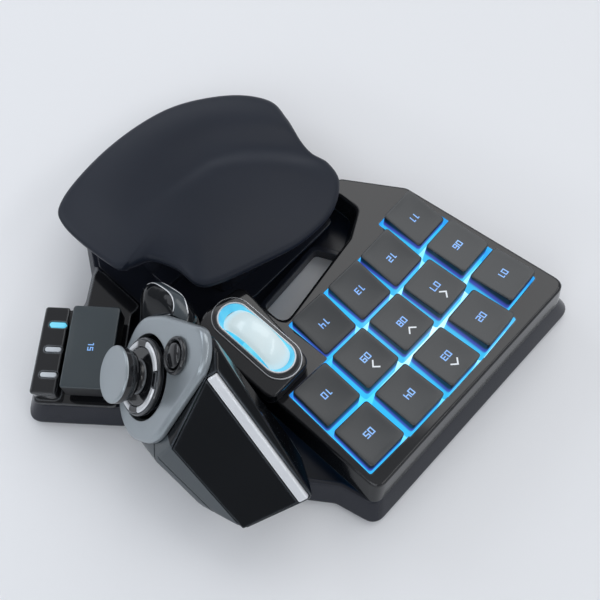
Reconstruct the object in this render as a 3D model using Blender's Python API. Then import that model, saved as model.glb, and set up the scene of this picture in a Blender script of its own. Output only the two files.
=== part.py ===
import math

import bmesh
import bpy
from mathutils import Matrix, Vector

# A one-handed gaming keypad: fourteen finger keys in a lit well, a thumb pod with a stick,
# a scroll wheel, a thumb key on a wing and a sliding palm rest.
# Lengths are metres, angles degrees. The layout origin lies under the middle finger key,
# X runs to the thumb side, Y away from the user and Z up from the desk.

# Shared clearances and overrun
gap = 0.0003
run_gap = 0.0005
overrun = 0.004

# Finger keys
key_pitch_x = 0.0195
key_pitch_y = 0.0203
key_top_width = 0.0157
key_top_depth = 0.0173
key_draft = 0.0004
key_travel = 0.003
key_corner = 0.0014
key_edge = 0.0007
key_dish = 0.0006
key_wall = 0.0014
key_top_wall = 0.0022
key_row_heights = (0.0290, 0.0269, 0.0248)
key_row_tilt_shares = (0.17, 0.05, -0.16)
column_stagger_shares = (-0.18, 0.05, 0.05, 0.02, -0.04)
column_turns = (2.0, 1.8, -0.8, -1.8, -3.2)
row_sizes = (5, 5, 4)
stem_radius = 0.0042
stem_reach = 0.0033

# Floor, boards and light guide under the keys
foot_height = 0.0012
floor_thickness = 0.0016
board_height = 0.0050
board_thickness = 0.0016
mat_thickness = 0.0010
dome_radius = 0.0038
dome_top_radius = 0.0027
guide_thickness = 0.0026
collar_wall = 0.0012
collar_height = 0.0030
well_margin = 0.0008
guide_flange = 0.0016

# Top shell round the keys
panel_left = 0.0570
panel_right = 0.0540
panel_far = 0.0380
panel_far_height = 0.0250
panel_near_height = 0.0205
panel_near = 0.0400
panel_corner = 0.0045
panel_edge = 0.0009
panel_draft = 0.0020
shell_wall = 0.0020
well_wall = 0.0012
arm_reach = 0.0670
arm_left = 0.0370
panel_side_shares = ((-1.0, 1.0), (-0.90, -0.97))
arm_shares = ((-1.0, -0.90), (-0.76, -1.0), (-0.62, -0.93), (-0.72, -0.80), (-0.72, -0.68))
window_side_shares = ((-1.10, -1.03), (-0.50, -1.0))
deck_side_shares = ((0.54, -0.96), (0.85, -1.04), (1.0, -0.98))
panel_thumb_share = 0.95

# Base shell
base_flare = 0.0040
base_wall = 0.0020
base_lip = 0.0012
base_corner = 0.0060
tail_height = 0.0070
tail_left = 0.0380
tail_right = 0.0500
tail_end = 0.1310
tail_left_shares = ((-0.78, -0.57), (-1.0, -0.74), (-0.80, -0.91), (-0.30, -1.0))
tail_right_shares = ((0.50, -1.0), (0.94, -0.93), (1.14, -0.81))
wing_root_shares = (-0.55, -1.0)
pod_base_right = 0.0860
pod_base_far = 0.0040
pod_base_shares = ((1.0, -12.8), (1.0, -4.0), (0.90, 1.0), (0.755, 3.0))
base_corner_shares = (1.06, 0.60)
standoff_radius = 0.0025
standoff_shares = ((-1.5, 0.9), (1.5, 0.9), (-1.5, -0.9), (0.9, -0.9))

# See-through window between the keys and the palm rest
window_left = 0.0140
window_right = 0.0260
window_far = 0.0385
window_near = 0.0490
window_skew = 0.0050
window_corner = 0.0025

# Wheel and its housing
wheel_x = 0.0413
wheel_y = -0.0325
wheel_radius = 0.0160
wheel_width = 0.0098
wheel_floor_gap = 0.0011
wheel_click = 0.0005
tyre_thickness = 0.0030
axle_radius = 0.0020
deck_rise = 0.0093
deck_wall = 0.0018
deck_left = 0.0295
deck_right = 0.0545
deck_far = 0.0125
deck_near = 0.0535
deck_near_shares = ((0.54, -0.96), (0.84, -1.0), (1.0, -0.96))
bezel_length = 0.0385
bezel_width = 0.0150
bezel_rim = 0.0017
bezel_stand = 0.0010
bezel_depth = 0.0018
fork_wall = 0.0015
fork_height = 0.0056
fork_pin_radius = 0.0012

# Thumb key wing
wing_x = 0.0830
wing_y = -0.0755
wing_turn = 39.8
wing_key_length = 0.0312
wing_key_width = 0.0167
wing_key_height = 0.0250
wing_half_length = 0.0185
wing_inner_side = 0.0098
wing_outer_side = 0.0212
wing_plate_thickness = 0.0015
status_offset = 0.0160
status_width = 0.0092
status_length = 0.0340
status_height = 0.0200
status_panel_thickness = 0.0016
lamp_length = 0.0062
lamp_width = 0.0020
lamp_pitch = 0.0098
lamp_depth = 0.0012

# Thumb pod
face_x = 0.0791
face_y = -0.0487
face_z = 0.0354
face_azimuth = -37.0
face_tip = 51.3
face_roll = 152.7
face_thickness = 0.0030
face_edge = 0.0012
face_corner = 0.0075
face_reach = 0.0360
face_half_width = 0.0217
face_rim = 0.0024
face_left_shares = ((-1.0, 0.37), (-0.98, -0.60), (-0.35, -1.0))
face_right_shares = ((0.30, -1.0), (1.0, 0.32), (0.93, 0.85), (0.17, 1.0))
face_top_shares = ((-0.58, 0.94),)
face_ledge = 0.0035
face_opening_depth = 0.0062
cover_near_left = (0.0665, -0.0244, 0.0609)
cover_near_right = (0.0899, -0.0238, 0.0380)
cover_far_left = (0.0715, 0.0208, 0.0354)
cover_far_right = (0.0915, 0.0100)
crest_drop = 0.0012
crest_lean = 0.0022
shoulder_near = (0.0960, -0.0265, 0.0290)
shoulder_far = (0.0955, -0.0050, 0.0205)
pod_wall = 0.0018
pod_inner = 0.0574
pod_near = 0.0600
pod_side_near = 0.0508
pod_foot_inset = 0.0006
cover_thickness = 0.0018
cover_margin = 0.0010
strip_width = 0.0036
strip_depth = 0.0016
strip_stand = 0.0004
pod_seam_height = 0.0176
pod_seam_slope_share = -0.42
neck_left = 0.0495
neck_near = 0.0760
neck_far = 0.0565
neck_crown = 0.0520
neck_shoulder = 0.0345
neck_thumb = 0.0680
neck_round = 0.0060
neck_shoulder_shares = (0.8, 1.0, 0.9, 0.7)
neck_crown_shares = (0.84, 0.88, 1.0, 0.8)

# Thumb pad, stick and round button
pad_radius = 0.0134
pad_gap = 0.0015
pad_thickness = 0.0032
pad_stand = 0.0022
pivot_depth = 0.0060
ring_groove_radius = 0.0112
ring_width = 0.0016
ring_height = 0.0010
stick_radius = 0.0097
stick_neck_radius = 0.0052
stick_height = 0.0118
stick_cap_thickness = 0.0034
stick_post_radius = 0.0022
gimbal_outer = 0.0088
gimbal_inner = 0.0058
gimbal_thickness = 0.0038
pin_radius = 0.0010
cradle_wall = 0.0018
cradle_depth = 0.0108
cradle_rise = 0.0028
button_x = 0.0193
button_y = 0.0088
button_radius = 0.0042
button_sleeve_wall = 0.0007
button_ring_radius = 0.0064
button_travel = 0.0010
button_height = 0.0040
button_switch_height = 0.0022
thumb_board_thickness = 0.0014
thumb_board_shares = (
    (-0.17, -0.78), (0.33, -0.78), (0.74, -0.20), (0.74, 0.12), (0.60, 0.46), (-0.17, 0.37),
)
face_post_shares = ((0.24, -0.62), (-0.04, -0.64), (0.70, 0.16))

# Palm rest
palm_left = 0.0456
palm_right = 0.0580
palm_front = 0.0446
palm_back = 0.1402
palm_ref_z = 0.0300
palm_slope_x_share = 0.148
palm_slope_y_share = 0.190
palm_crown = 0.0055
palm_valley = 0.0050
palm_lip = 0.0030
palm_thickness = 0.0064
palm_travel = 0.014
palm_steps = 2
palm_outline_shares = (
    (1.00, -0.52), (0.85, -0.77), (0.37, -0.95), (-0.12, -1.00), (-0.50, -0.92), (-0.85, -0.66),
    (-1.00, -0.35), (-0.93, -0.06), (-0.81, 0.22), (-0.76, 0.40), (-0.76, 0.59), (-0.66, 0.80),
    (-0.39, 0.97), (-0.04, 1.00), (0.31, 0.91), (0.62, 0.80), (0.72, 0.70), (0.72, 0.47),
    (0.79, 0.25), (0.92, 0.18), (1.00, 0.09),
)
palm_under_shares = (0.86, 0.97, 1.0, 1.0)
palm_ring_shares = (0.985, 0.94, 0.86, 0.74, 0.60, 0.44, 0.26, 0.10)
valley_start_share = -0.10
valley_line_share = -0.17
valley_bend_share = 1.15
valley_near_share = 0.12
valley_far_share = 0.30
valley_fade_share = 0.70
carrier_shares = (
    (0.72, -0.55), (0.74, 0.10), (0.50, 0.35), (0.50, 0.66), (-0.45, 0.76), (-0.55, 0.40),
    (-0.72, 0.00), (-0.80, -0.35), (-0.60, -0.62), (-0.20, -0.75), (0.35, -0.72),
)
carrier_hollow_shares = (
    (0.74, -0.18), (0.74, 0.10), (0.50, 0.35), (0.50, 0.66), (-0.45, 0.76), (-0.55, 0.40),
    (-0.72, 0.00), (-0.74, -0.18),
)
carrier_wall = 0.0022
track_thickness = 0.0017
track_start_shares = (-1.65, -0.70, -0.72)
rail_width = 0.0040
rail_head = 0.0080
rail_head_height = 0.0016
rail_length = 0.0180
rail_near = 0.0960
rail_x = 0.0160
latch_length = 0.0090
latch_height = 0.0040
latch_travel = 0.0020
latch_y = 0.0790

# Screws, feet and cable gland
screw_radius = 0.0009
screw_head_radius = 0.0016
screw_head_height = 0.0009
boss_radius = 0.0020
pod_screw_share = 0.84
foot_radius = 0.0060
foot_inset = 0.0006
gland_radius = 0.0029
gland_flange = 0.0040
gland_length = 0.0070
gland_bore = 0.0018
gland_wall = 0.0014

# How finely round forms are cut up
corner_steps = 2
corner_room_share = 0.48
corner_limit_share = 0.35
round_steps = 20
pad_steps = 24
wheel_steps = 24
foot_steps = 12
small_steps = 10
dome_steps = 10
slot_steps = 6
smooth_angle = 40.0
palm_smooth_angle = 60.0

# Heights that follow from the sizes above
floor_top = foot_height + floor_thickness
board_top = board_height + board_thickness
mat_top = board_top + gap + mat_thickness
guide_bottom = mat_top + gap
guide_top = guide_bottom + guide_thickness
seam_height = guide_top
key_bottom = guide_top + key_travel + gap + run_gap
stem_bottom = key_bottom - stem_reach
axle_height = floor_top + wheel_floor_gap + wheel_radius
deck_height = axle_height + deck_rise
track_top = tail_height + gap + track_thickness
panel_slope = (panel_far_height - panel_near_height) / (panel_far + panel_near)
wing_plate_top = seam_height + gap + wing_plate_thickness
wing_key_bottom = wing_plate_top + key_travel + gap + run_gap
wing_dome_base = wing_key_bottom - stem_reach - key_travel * 2 + mat_thickness
fork_foot = fork_height / 2
fork_low = floor_top + key_travel
screw_top = seam_height + boss_radius * 2
latch_low = track_top + gap + carrier_wall + rail_head_height * 3
reach_all = panel_left + tail_end


def clear_scene():
    for item in list(bpy.data.objects):
        bpy.data.objects.remove(item, do_unlink=True)


def make_material(name, colour, roughness, metallic=0.0, glow=0.0):
    material = bpy.data.materials.new(name)
    material.use_nodes = True
    shader = material.node_tree.nodes["Principled BSDF"]
    shader.inputs["Base Color"].default_value = (*colour, 1.0)
    shader.inputs["Roughness"].default_value = roughness
    shader.inputs["Metallic"].default_value = metallic
    shader.inputs["Emission Color"].default_value = (*colour, 1.0)
    shader.inputs["Emission Strength"].default_value = glow
    material.diffuse_color = (*colour, 1.0)
    return material


def object_from(name, shape, material=None, parent=None):
    """Turns a bmesh into a linked object with outward normals."""
    bmesh.ops.recalc_face_normals(shape, faces=shape.faces)
    if shape.calc_volume(signed=True) < 0:
        bmesh.ops.reverse_faces(shape, faces=shape.faces)
    mesh = bpy.data.meshes.new(name)
    shape.to_mesh(mesh)
    shape.free()
    made = bpy.data.objects.new(name, mesh)
    bpy.context.scene.collection.objects.link(made)
    made.parent = parent or root
    if material:
        mesh.materials.append(material)
    return made


def smooth(made, angle=smooth_angle):
    made.data.shade_smooth()
    made.data.set_sharp_from_angle(angle=math.radians(angle))
    return made


def set_origin(made, point):
    """Moves an object's origin to a point of its parent's frame, with the shape left in place."""
    made.data.transform(Matrix.Translation(-Vector(point)))
    made.location = point
    return made


def loft(name, rings, material=None, parent=None):
    """Joins rings of equal length with side faces and closes both ends."""
    shape = bmesh.new()
    loops = [[shape.verts.new(point) for point in ring] for ring in rings]
    for low, high in zip(loops, loops[1:]):
        for index in range(len(low)):
            after = (index + 1) % len(low)
            shape.faces.new((low[index], low[after], high[after], high[index]))
    shape.faces.new(list(reversed(loops[0])))
    shape.faces.new(loops[-1])
    return object_from(name, shape, material, parent)


def hull(name, points, material=None, parent=None):
    """A convex solid round the given points."""
    shape = bmesh.new()
    for point in points:
        shape.verts.new(point)
    made = bmesh.ops.convex_hull(shape, input=shape.verts)
    spare = [item for item in made["geom_interior"] if isinstance(item, bmesh.types.BMVert)]
    bmesh.ops.delete(shape, geom=spare, context="VERTS")
    return object_from(name, shape, material, parent)


def level(outline, height):
    return [Vector((x, y, height)) for x, y in outline]


def prism(name, outline, low, high, material=None, parent=None):
    return loft(name, [level(outline, low), level(outline, high)], material, parent)


def inset(points, distance):
    """Moves each side of a counter-clockwise outline inwards by one distance."""
    moved = []
    count = len(points)
    for index in range(count):
        before = Vector(points[index - 1][:2])
        here = Vector(points[index][:2])
        after = Vector(points[(index + 1) % count][:2])
        first = (here - before).normalized()
        second = (after - here).normalized()
        normal_a = Vector((-first.y, first.x))
        normal_b = Vector((-second.y, second.x))
        half = (normal_a + normal_b).normalized()
        moved.append(here + half * (distance / max(half.dot(normal_a), corner_limit_share)))
    return [(point.x, point.y) for point in moved]


def rounded(points, radius, steps=corner_steps):
    """Rounds each corner of an outline with an arc that its sides leave room for."""
    outline = []
    count = len(points)
    for index in range(count):
        before = Vector(points[index - 1])
        here = Vector(points[index])
        after = Vector(points[(index + 1) % count])
        into = (before - here).normalized()
        out = (after - here).normalized()
        half_angle = into.angle(out) / 2
        room = min((before - here).length, (after - here).length) * corner_room_share
        reach = min(radius / math.tan(half_angle), room)
        start = here + into * reach
        end = here + out * reach
        for step in range(steps + 1):
            share = step / steps
            point = start.lerp(here, share).lerp(here.lerp(end, share), share)
            outline.append((point.x, point.y))
    return outline


def circle(radius, steps, centre=(0.0, 0.0), turn=0.0):
    angles = [turn + 2 * math.pi * index / steps for index in range(steps)]
    return [(centre[0] + radius * math.cos(a), centre[1] + radius * math.sin(a)) for a in angles]


def slot_outline(length, width, centre=(0.0, 0.0), steps=slot_steps):
    """An outline with half-round ends, long along Y."""
    straight = (length - width) / 2
    points = []
    for end, start_angle in ((1, 0.0), (-1, math.pi)):
        for step in range(steps + 1):
            angle = start_angle + math.pi * step / steps
            x = centre[0] + width / 2 * math.cos(angle)
            points.append((x, centre[1] + end * straight + width / 2 * math.sin(angle)))
    return points


def rectangle(left, right, near, far):
    return [(left, near), (right, near), (right, far), (left, far)]


def turned(points, degrees, centre=(0.0, 0.0)):
    cos_turn = math.cos(math.radians(degrees))
    sin_turn = math.sin(math.radians(degrees))
    return [(centre[0] + x * cos_turn - y * sin_turn, centre[1] + x * sin_turn + y * cos_turn)
            for x, y in points]


def use_as_cutter(made):
    made.hide_render = True
    made.display_type = "WIRE"
    made["guide"] = True
    return made


def apply_boolean(target, tool, operation):
    modifier = target.modifiers.new(tool.name, "BOOLEAN")
    modifier.operation = operation
    modifier.solver = "EXACT"
    modifier.object = tool
    return target


def cut(target, *tools):
    for tool in tools:
        apply_boolean(target, use_as_cutter(tool), "DIFFERENCE")
    return target


def join(target, *tools):
    for tool in tools:
        apply_boolean(target, use_as_cutter(tool), "UNION")
    return target


def panel_height(y):
    """The top shell's surface falls towards the user."""
    return panel_far_height - panel_slope * (panel_far - y)


def key_place(column, row):
    turn = math.radians(column_turns[column])
    rise = (1 - row) * key_pitch_y
    x = (column - 2) * key_pitch_x - rise * math.sin(turn)
    y = column_stagger_shares[column] * key_pitch_y + rise * math.cos(turn)
    return x, y


def key_corner_at(column, row, side, end):
    """A corner of a key's skirt, with the well's margin round it."""
    half_x = key_top_width / 2 + key_draft + well_margin
    half_y = key_top_depth / 2 + key_draft + well_margin
    return turned([(side * half_x, end * half_y)], column_turns[column], key_place(column, row))[0]


def well_outline():
    """The lit well follows the staggered columns of keys, counter-clockwise."""
    far = [key_corner_at(column, 0, side, 1) for column in (4, 3, 2, 1, 0) for side in (1, -1)]
    near = [key_corner_at(column, 2, side, -1) for column in (0, 1, 2, 3) for side in (-1, 1)]
    step_up = [(near[-1][0], key_corner_at(4, 1, -1, -1)[1])]
    thumb_end = [key_corner_at(4, 1, 1, -1)]
    stepped = tidy_steps(far, 1) + tidy_steps(near, -1)
    return stepped + step_up + thumb_end


def tidy_steps(corners, end):
    """Joins neighbouring columns at one shared X, so the step between them is square."""
    points = [corners[0]]
    for index in range(1, len(corners) - 1, 2):
        middle = (corners[index][0] + corners[index + 1][0]) / 2
        points.append((middle, corners[index][1]))
        points.append((middle, corners[index + 1][1]))
    points.append(corners[-1])
    return points


def scaled(shares, x_size, y_size):
    return [(x * x_size, y * y_size) for x, y in shares]


def window_corners():
    return [
        (-window_left, -window_far),
        (-window_left + window_skew, -window_near),
        (window_right - window_skew / 2, -window_near + window_skew / 2),
        (window_right, -window_far + window_skew),
    ]


def window_outline(grown=0.0):
    return rounded(inset(window_corners(), -grown), window_corner + grown)


def panel_corners():
    """Plan of the top shell: key panel, left arm, window edge and the strip by the pod."""
    return [
        *scaled(panel_side_shares, panel_left, panel_far),
        *scaled(arm_shares, arm_left, arm_reach),
        *scaled(window_side_shares, window_left, window_far),
        (window_right, -window_far + window_skew),
        (window_right, -window_near),
        *scaled(deck_side_shares, panel_right, deck_near),
        (panel_right, panel_far * panel_thumb_share),
    ]


def wing_frame(points):
    return turned(points, wing_turn, (wing_x, wing_y))


def wing_corners():
    return wing_frame([
        (-wing_half_length, -wing_outer_side),
        (wing_half_length, -wing_outer_side),
        (wing_half_length, wing_inner_side),
    ])


def tail_corners():
    left = scaled(tail_left_shares, tail_left, tail_end)
    return left + scaled(tail_right_shares, tail_right, tail_end)


def wing_edge_x():
    """Where the tail ends and the wing begins."""
    return tail_right * tail_right_shares[-1][0]


def wing_root():
    x_share, y_share = wing_root_shares
    return wing_x + wing_half_length * x_share, wing_y + wing_half_length * y_share


def base_corners():
    """Plan of the base shell's seam: keys, left arm, tail, wing and pod."""
    return [
        *scaled(panel_side_shares, panel_left, panel_far),
        (-arm_left, arm_shares[0][1] * arm_reach),
        *tail_corners(),
        wing_root(),
        *wing_corners(),
        *scaled(pod_base_shares, pod_base_right, pod_base_far),
        (panel_right * base_corner_shares[0], panel_far * base_corner_shares[1]),
        (panel_right, panel_far * panel_thumb_share),
    ]


def screw_places():
    """Three screws reach the top shell, past the lit well, and the last one the pod."""
    side = shell_wall + boss_radius
    notch = key_corner_at(0, 0, 1, 1)
    arm_x = (arm_shares[0][0] + arm_shares[4][0]) / 2 * arm_left - boss_radius * 2
    arm_y = -panel_near - boss_radius * 3
    return [
        (notch[0] - side * 2, panel_far - side - run_gap),
        (arm_x, arm_y),
        (panel_right - side - boss_radius, panel_far - side - run_gap),
        (pod_base_right * pod_screw_share, -deck_near / 2),
    ]


def foot_places():
    edge = foot_radius + base_wall
    wing_edge = wing_half_length - edge
    tail = tail_corners()
    return [
        (edge - panel_left, panel_far - edge),
        (panel_right - edge * 2, panel_far - edge),
        (pod_base_right - edge, -deck_near + edge * 3),
        wing_frame([(wing_edge, -wing_outer_side + edge)])[0],
        (tail[2][0] + edge, tail[2][1] + edge),
        (tail[5][0] - edge, tail[5][1] + edge),
    ]


def tools(name, outlines, low, high):
    """Several upright prisms in one cutting or joining tool."""
    shape = bmesh.new()
    for outline in outlines:
        lower = [shape.verts.new((x, y, low)) for x, y in outline]
        upper = [shape.verts.new((x, y, high)) for x, y in outline]
        for index in range(len(lower)):
            after = (index + 1) % len(lower)
            shape.faces.new((lower[index], lower[after], upper[after], upper[index]))
        shape.faces.new(list(reversed(lower)))
        shape.faces.new(upper)
    return object_from(name, shape)


def circles(radius, places, steps=small_steps):
    return [circle(radius, steps, place) for place in places]


def rod(name, radius, start, end, steps=small_steps, material=None, parent=None, bore=0.0):
    """A round bar between two points, with an optional bore along it."""
    start = Vector(start)
    along = Vector(end) - start
    turn = along.to_track_quat("Z", "Y").to_matrix().to_4x4()
    profile = [(radius, 0.0), (radius, along.length)]
    if bore:
        profile += [(bore, along.length), (bore, 0.0)]
    made = spin(name, profile, steps, bool(bore), material, parent)
    made.data.transform(Matrix.Translation(start) @ turn)
    return made


def spin(name, profile, steps, closed=False, material=None, parent=None):
    """Turns a profile of radius and height pairs round Z; a closed one makes a ring."""
    shape = bmesh.new()
    loops = [[shape.verts.new((*point, height)) for point in circle(radius, steps)]
             for radius, height in profile]
    pairs = list(zip(loops, loops[1:]))
    if closed:
        pairs.append((loops[-1], loops[0]))
    for low, high in pairs:
        for index in range(steps):
            after = (index + 1) % steps
            shape.faces.new((low[index], low[after], high[after], high[index]))
    if not closed:
        shape.faces.new(list(reversed(loops[0])))
        shape.faces.new(loops[-1])
    return smooth(object_from(name, shape, material, parent))


def make_base_shell():
    """A tray with flared sides, lowered at the tail and pierced by the window."""
    seam = base_corners()
    tray = loft("base_shell", [
        level(rounded(inset(seam, base_lip - base_flare), base_corner), foot_height),
        level(rounded(inset(seam, -base_flare), base_corner), foot_height + base_lip),
        level(rounded(seam, base_corner), seam_height),
        level(rounded(inset(seam, base_wall), base_corner), seam_height),
        level(rounded(inset(seam, base_wall + base_lip - base_flare), base_corner), floor_top),
    ], shell_black)
    reach = panel_left + pod_base_right
    tail_area = rectangle(-reach, wing_edge_x() + gap, -reach * 2, -arm_reach + shell_wall * 2)
    tail = tools("tail_cut", [tail_area], tail_height, deck_height)
    step_area = rectangle(window_side_shares[0][0] * window_left * 2, window_right + base_wall,
                          -arm_reach, -window_near - base_wall)
    step = tools("tail_step", [step_area], tail_height, deck_height)
    inside = foot_height + floor_thickness / 2
    rim = tools("window_rim", [window_outline(base_wall)], inside, tail_height)
    bosses = tools("base_bosses", circles(boss_radius, screw_places()), inside, seam_height - gap)
    standoffs = tools("base_standoffs", circles(standoff_radius, scaled(
        standoff_shares, key_pitch_x, key_pitch_y)), inside, board_height - gap)
    pedestal = tools("wing_pedestal", circles(dome_radius * 2, [(wing_x, wing_y)]),
                     inside, wing_dome_base - gap)
    fork_posts = tools("fork_posts", circles(fork_pin_radius, fork_post_places()),
                       inside, fork_low + fork_foot + fork_wall)
    join(cut(tray, tail, step), rim, bosses, standoffs, pedestal, fork_posts)
    hole = tools("window_hole", [window_outline()], -overrun, deck_height)
    bores = tools("base_bores", circles(screw_radius + gap, screw_places()), -overrun, seam_height + overrun)
    heads = tools("base_heads", circles(screw_head_radius + gap, screw_places()),
                  -overrun, foot_height + screw_head_height + gap)
    recesses = tools("foot_recesses", circles(foot_radius + gap, foot_places(), foot_steps),
                     -overrun, foot_height + foot_inset)
    wheel_pit = tools("wheel_pit", [slot_outline(wheel_radius, wheel_width, (wheel_x, wheel_y))],
                      floor_top - wheel_floor_gap / 2, seam_height)
    start, end = gland_ends()
    cable_hole = rod("gland_hole", gland_radius + gap, start, end)
    return cut(tray, hole, bores, heads, recesses, wheel_pit, cable_hole)


def make_top_shell():
    """The gloss panel with its lit well, standing walls, screw bosses and wheel opening."""
    corners = panel_corners()
    skirt = rounded(corners, panel_corner)
    rim = rounded(inset(corners, panel_draft), panel_corner)
    top = rounded(inset(corners, panel_draft + panel_edge), panel_corner)
    shell = loft("top_shell", [
        level(skirt, seam_height + gap),
        [Vector((x, y, panel_height(y) - panel_edge)) for x, y in rim],
        [Vector((x, y, panel_height(y))) for x, y in top],
    ], gloss_black)
    low_inner = rounded(inset(corners, shell_wall), panel_corner)
    high_inner = rounded(inset(corners, panel_draft + shell_wall), panel_corner)
    cavity = loft("top_cavity", [
        level(low_inner, seam_height - overrun),
        [Vector((x, y, panel_height(y) - shell_wall)) for x, y in high_inner],
    ])
    well = well_outline()
    low = guide_top - overrun * 2
    keep = tools("well_wall", [inset(well, -well_wall)], low, panel_far_height)
    bosses = tools("top_bosses", circles(boss_radius, screw_places()), low, panel_far_height)
    rim_wall = tools("window_wall", [window_outline(shell_wall)], low, panel_far_height)
    cut(cavity, keep, bosses, rim_wall)
    floor_cut = tools("well_floor_cut", [inset(well, -well_wall * 2)], -overrun, guide_top + gap)
    well_cut = tools("well_cut", [well], -overrun, deck_height)
    window_cut = tools("panel_window_cut", [window_outline()], -overrun, deck_height)
    wheel_cut = tools("wheel_opening", [rectangle(*wheel_opening())], seam_height + gap * 2, deck_height)
    bores = tools("top_bores", circles(screw_radius + gap, screw_places()), -overrun,
                  screw_top + gap)
    base_cut = tools("top_base_cut", circles(boss_radius + gap, screw_places()),
                     -overrun, seam_height + gap)
    return cut(shell, cavity, well_cut, window_cut, wheel_cut, bores, base_cut, floor_cut)


def wheel_opening():
    side = wheel_width / 2 + run_gap + fork_wall + run_gap * 2
    end = wheel_radius + run_gap * 2
    return wheel_x - side, wheel_x + side, wheel_y - end, wheel_y + end


def make_light_guide():
    """A clear plate under the keys with a guide collar and a bore for each stem."""
    places = [key_place(column, row) for row in range(3) for column in range(row_sizes[row])]
    outline = inset(well_outline(), guide_flange * -1)
    plate = prism("light_guide", outline, guide_bottom, guide_top, glow_blue)
    bore = stem_radius + run_gap
    collars = tools("guide_collars", circles(bore + collar_wall, places, dome_steps),
                    guide_bottom + gap, guide_top + collar_height)
    bores = tools("guide_bores", circles(bore, places, dome_steps), 0.0, deck_height)
    return cut(join(plate, collars), bores)


def make_boards():
    places = [key_place(column, row) for row in range(3) for column in range(row_sizes[row])]
    outline = inset(well_outline(), -guide_flange)
    prism("main_board", outline, board_height, board_top, board_green)
    sheet = prism("dome_mat", outline, board_top + gap, mat_top, dark_rubber)
    domes = tools("key_domes", circles(dome_radius, places, dome_steps), mat_top - mat_thickness / 2,
                  stem_bottom - gap)
    return join(sheet, domes)


def key_shape(name, width, depth, top, bottom, tilt, stem_low, material):
    """A hollow cap with a dished, tilted top and a round stem inside."""
    def ring(half_x, half_y, corner, height, lean=0.0):
        outline = rounded(rectangle(-half_x, half_x, -half_y, half_y), corner)
        return [Vector((x, y, height + lean * y)) for x, y in outline]

    def round_ring(radius, height):
        outline = rounded(rectangle(-width, width, -depth, depth), key_corner)
        return [Vector((*(Vector(point).normalized() * radius), height)) for point in outline]

    ceiling = top - key_top_wall - abs(tilt) * depth / 2
    wide = width / 2 + key_draft
    deep = depth / 2 + key_draft
    inner_x = wide - key_wall
    inner_y = deep - key_wall
    return smooth(loft(name, [
        round_ring(stem_radius, stem_low),
        round_ring(stem_radius, ceiling),
        ring(inner_x, inner_y, key_corner - key_edge, ceiling),
        ring(inner_x, inner_y, key_corner - key_edge, bottom),
        ring(wide, deep, key_corner, bottom),
        ring(width / 2 + key_edge / 2, depth / 2 + key_edge / 2, key_corner, top - key_edge, tilt),
        ring(width / 2 - key_edge / 2, depth / 2 - key_edge / 2, key_corner - key_edge, top, tilt),
        ring(width / 4, depth / 2 - key_edge * 2, key_corner / 2, top - key_dish, tilt),
    ], material))


def make_keys():
    number = 0
    for row in range(3):
        for column in range(row_sizes[row]):
            number += 1
            x, y = key_place(column, row)
            key = key_shape(f"key_{number:02d}", key_top_width, key_top_depth, key_row_heights[row],
                            key_bottom, key_row_tilt_shares[row], stem_bottom, key_black)
            key.location = (x, y, 0.0)
            key.rotation_euler = (0.0, 0.0, math.radians(column_turns[column]))
    thumb = key_shape("key_15", wing_key_length, wing_key_width, wing_key_height, wing_key_bottom,
                      0.0, wing_key_bottom - stem_reach, key_black)
    thumb.location = (wing_x, wing_y, 0.0)
    thumb.rotation_euler = (0.0, 0.0, math.radians(wing_turn))


def make_wing():
    """The thumb key's deck with its guide collar, the state panel and its three lamps."""
    corners = wing_corners()
    pod_side = wing_frame([(-wing_half_length, wing_inner_side)])
    root_x = wing_edge_x() + run_gap
    outline = [wing_root(), *corners, *pod_side, (root_x, pod_side[0][1]),
               (root_x, tail_right_shares[-1][1] * tail_end + run_gap)]
    low = seam_height + gap
    cover = prism("wing_cover", rounded(outline, base_wall), low, wing_plate_top, gloss_black)
    block_outline = wing_frame(rectangle(-status_length / 2, status_length / 2,
                                         -status_offset - status_width / 2,
                                         -status_offset + status_width / 2))
    block_top = status_height - status_panel_thickness - gap
    block = tools("status_block", [rounded(block_outline, base_wall)], low + gap, block_top)
    bore = stem_radius + run_gap
    collar = tools("wing_collar", circles(bore + collar_wall, [(wing_x, wing_y)], round_steps),
                   low + gap, wing_plate_top + collar_height)
    hole = tools("wing_bore", circles(bore, [(wing_x, wing_y)], round_steps), 0.0, deck_height)
    lamps = []
    for index in range(3):
        across = (index - 1) * lamp_pitch
        lamps.append((across, -status_offset + status_width / 8))
    rail = wing_frame(rectangle(-lamp_pitch - lamp_width, lamp_pitch + lamp_width,
                                lamps[0][1] - lamp_width / 2, lamps[0][1] + lamp_width / 2))
    bars = [lamp_outline(place) for place in lamps]
    recess = tools("lamp_recess", [inset(rail, -gap)], block_top - lamp_depth * 2, deck_height)
    seats = tools("lamp_seats", [inset(bar, -gap) for bar in bars], block_top - lamp_depth, deck_height)
    cut(join(cover, block, collar), hole, recess, seats)
    panel = prism("state_panel", rounded(block_outline, base_wall), status_height - status_panel_thickness,
                  status_height, gloss_black)
    slots = tools("lamp_slots", [inset(bar, -gap) for bar in bars], 0.0, deck_height)
    cut(panel, slots)
    pipe = prism("state_light_pipe", rail, block_top - lamp_depth * 2 + gap, block_top - gap, lamp_white)
    join(pipe, tools("lamp_bars", bars, block_top - lamp_depth + gap, status_height + gap))
    base = wing_dome_base
    profile = [(dome_radius + gap * 2, base), (dome_radius + gap * 2, base + mat_thickness),
               (dome_radius, base + mat_thickness), (dome_top_radius, wing_key_bottom - stem_reach - gap)]
    dome = spin("thumb_key_dome", profile, small_steps, False, dark_rubber)
    dome.location = (wing_x, wing_y, 0.0)


def lamp_outline(place):
    half_x = lamp_width / 2
    half_y = lamp_length / 2
    x, y = place
    return wing_frame(rounded(rectangle(x - half_x, x + half_x, y - half_y, y + half_y), half_x, 2))


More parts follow.
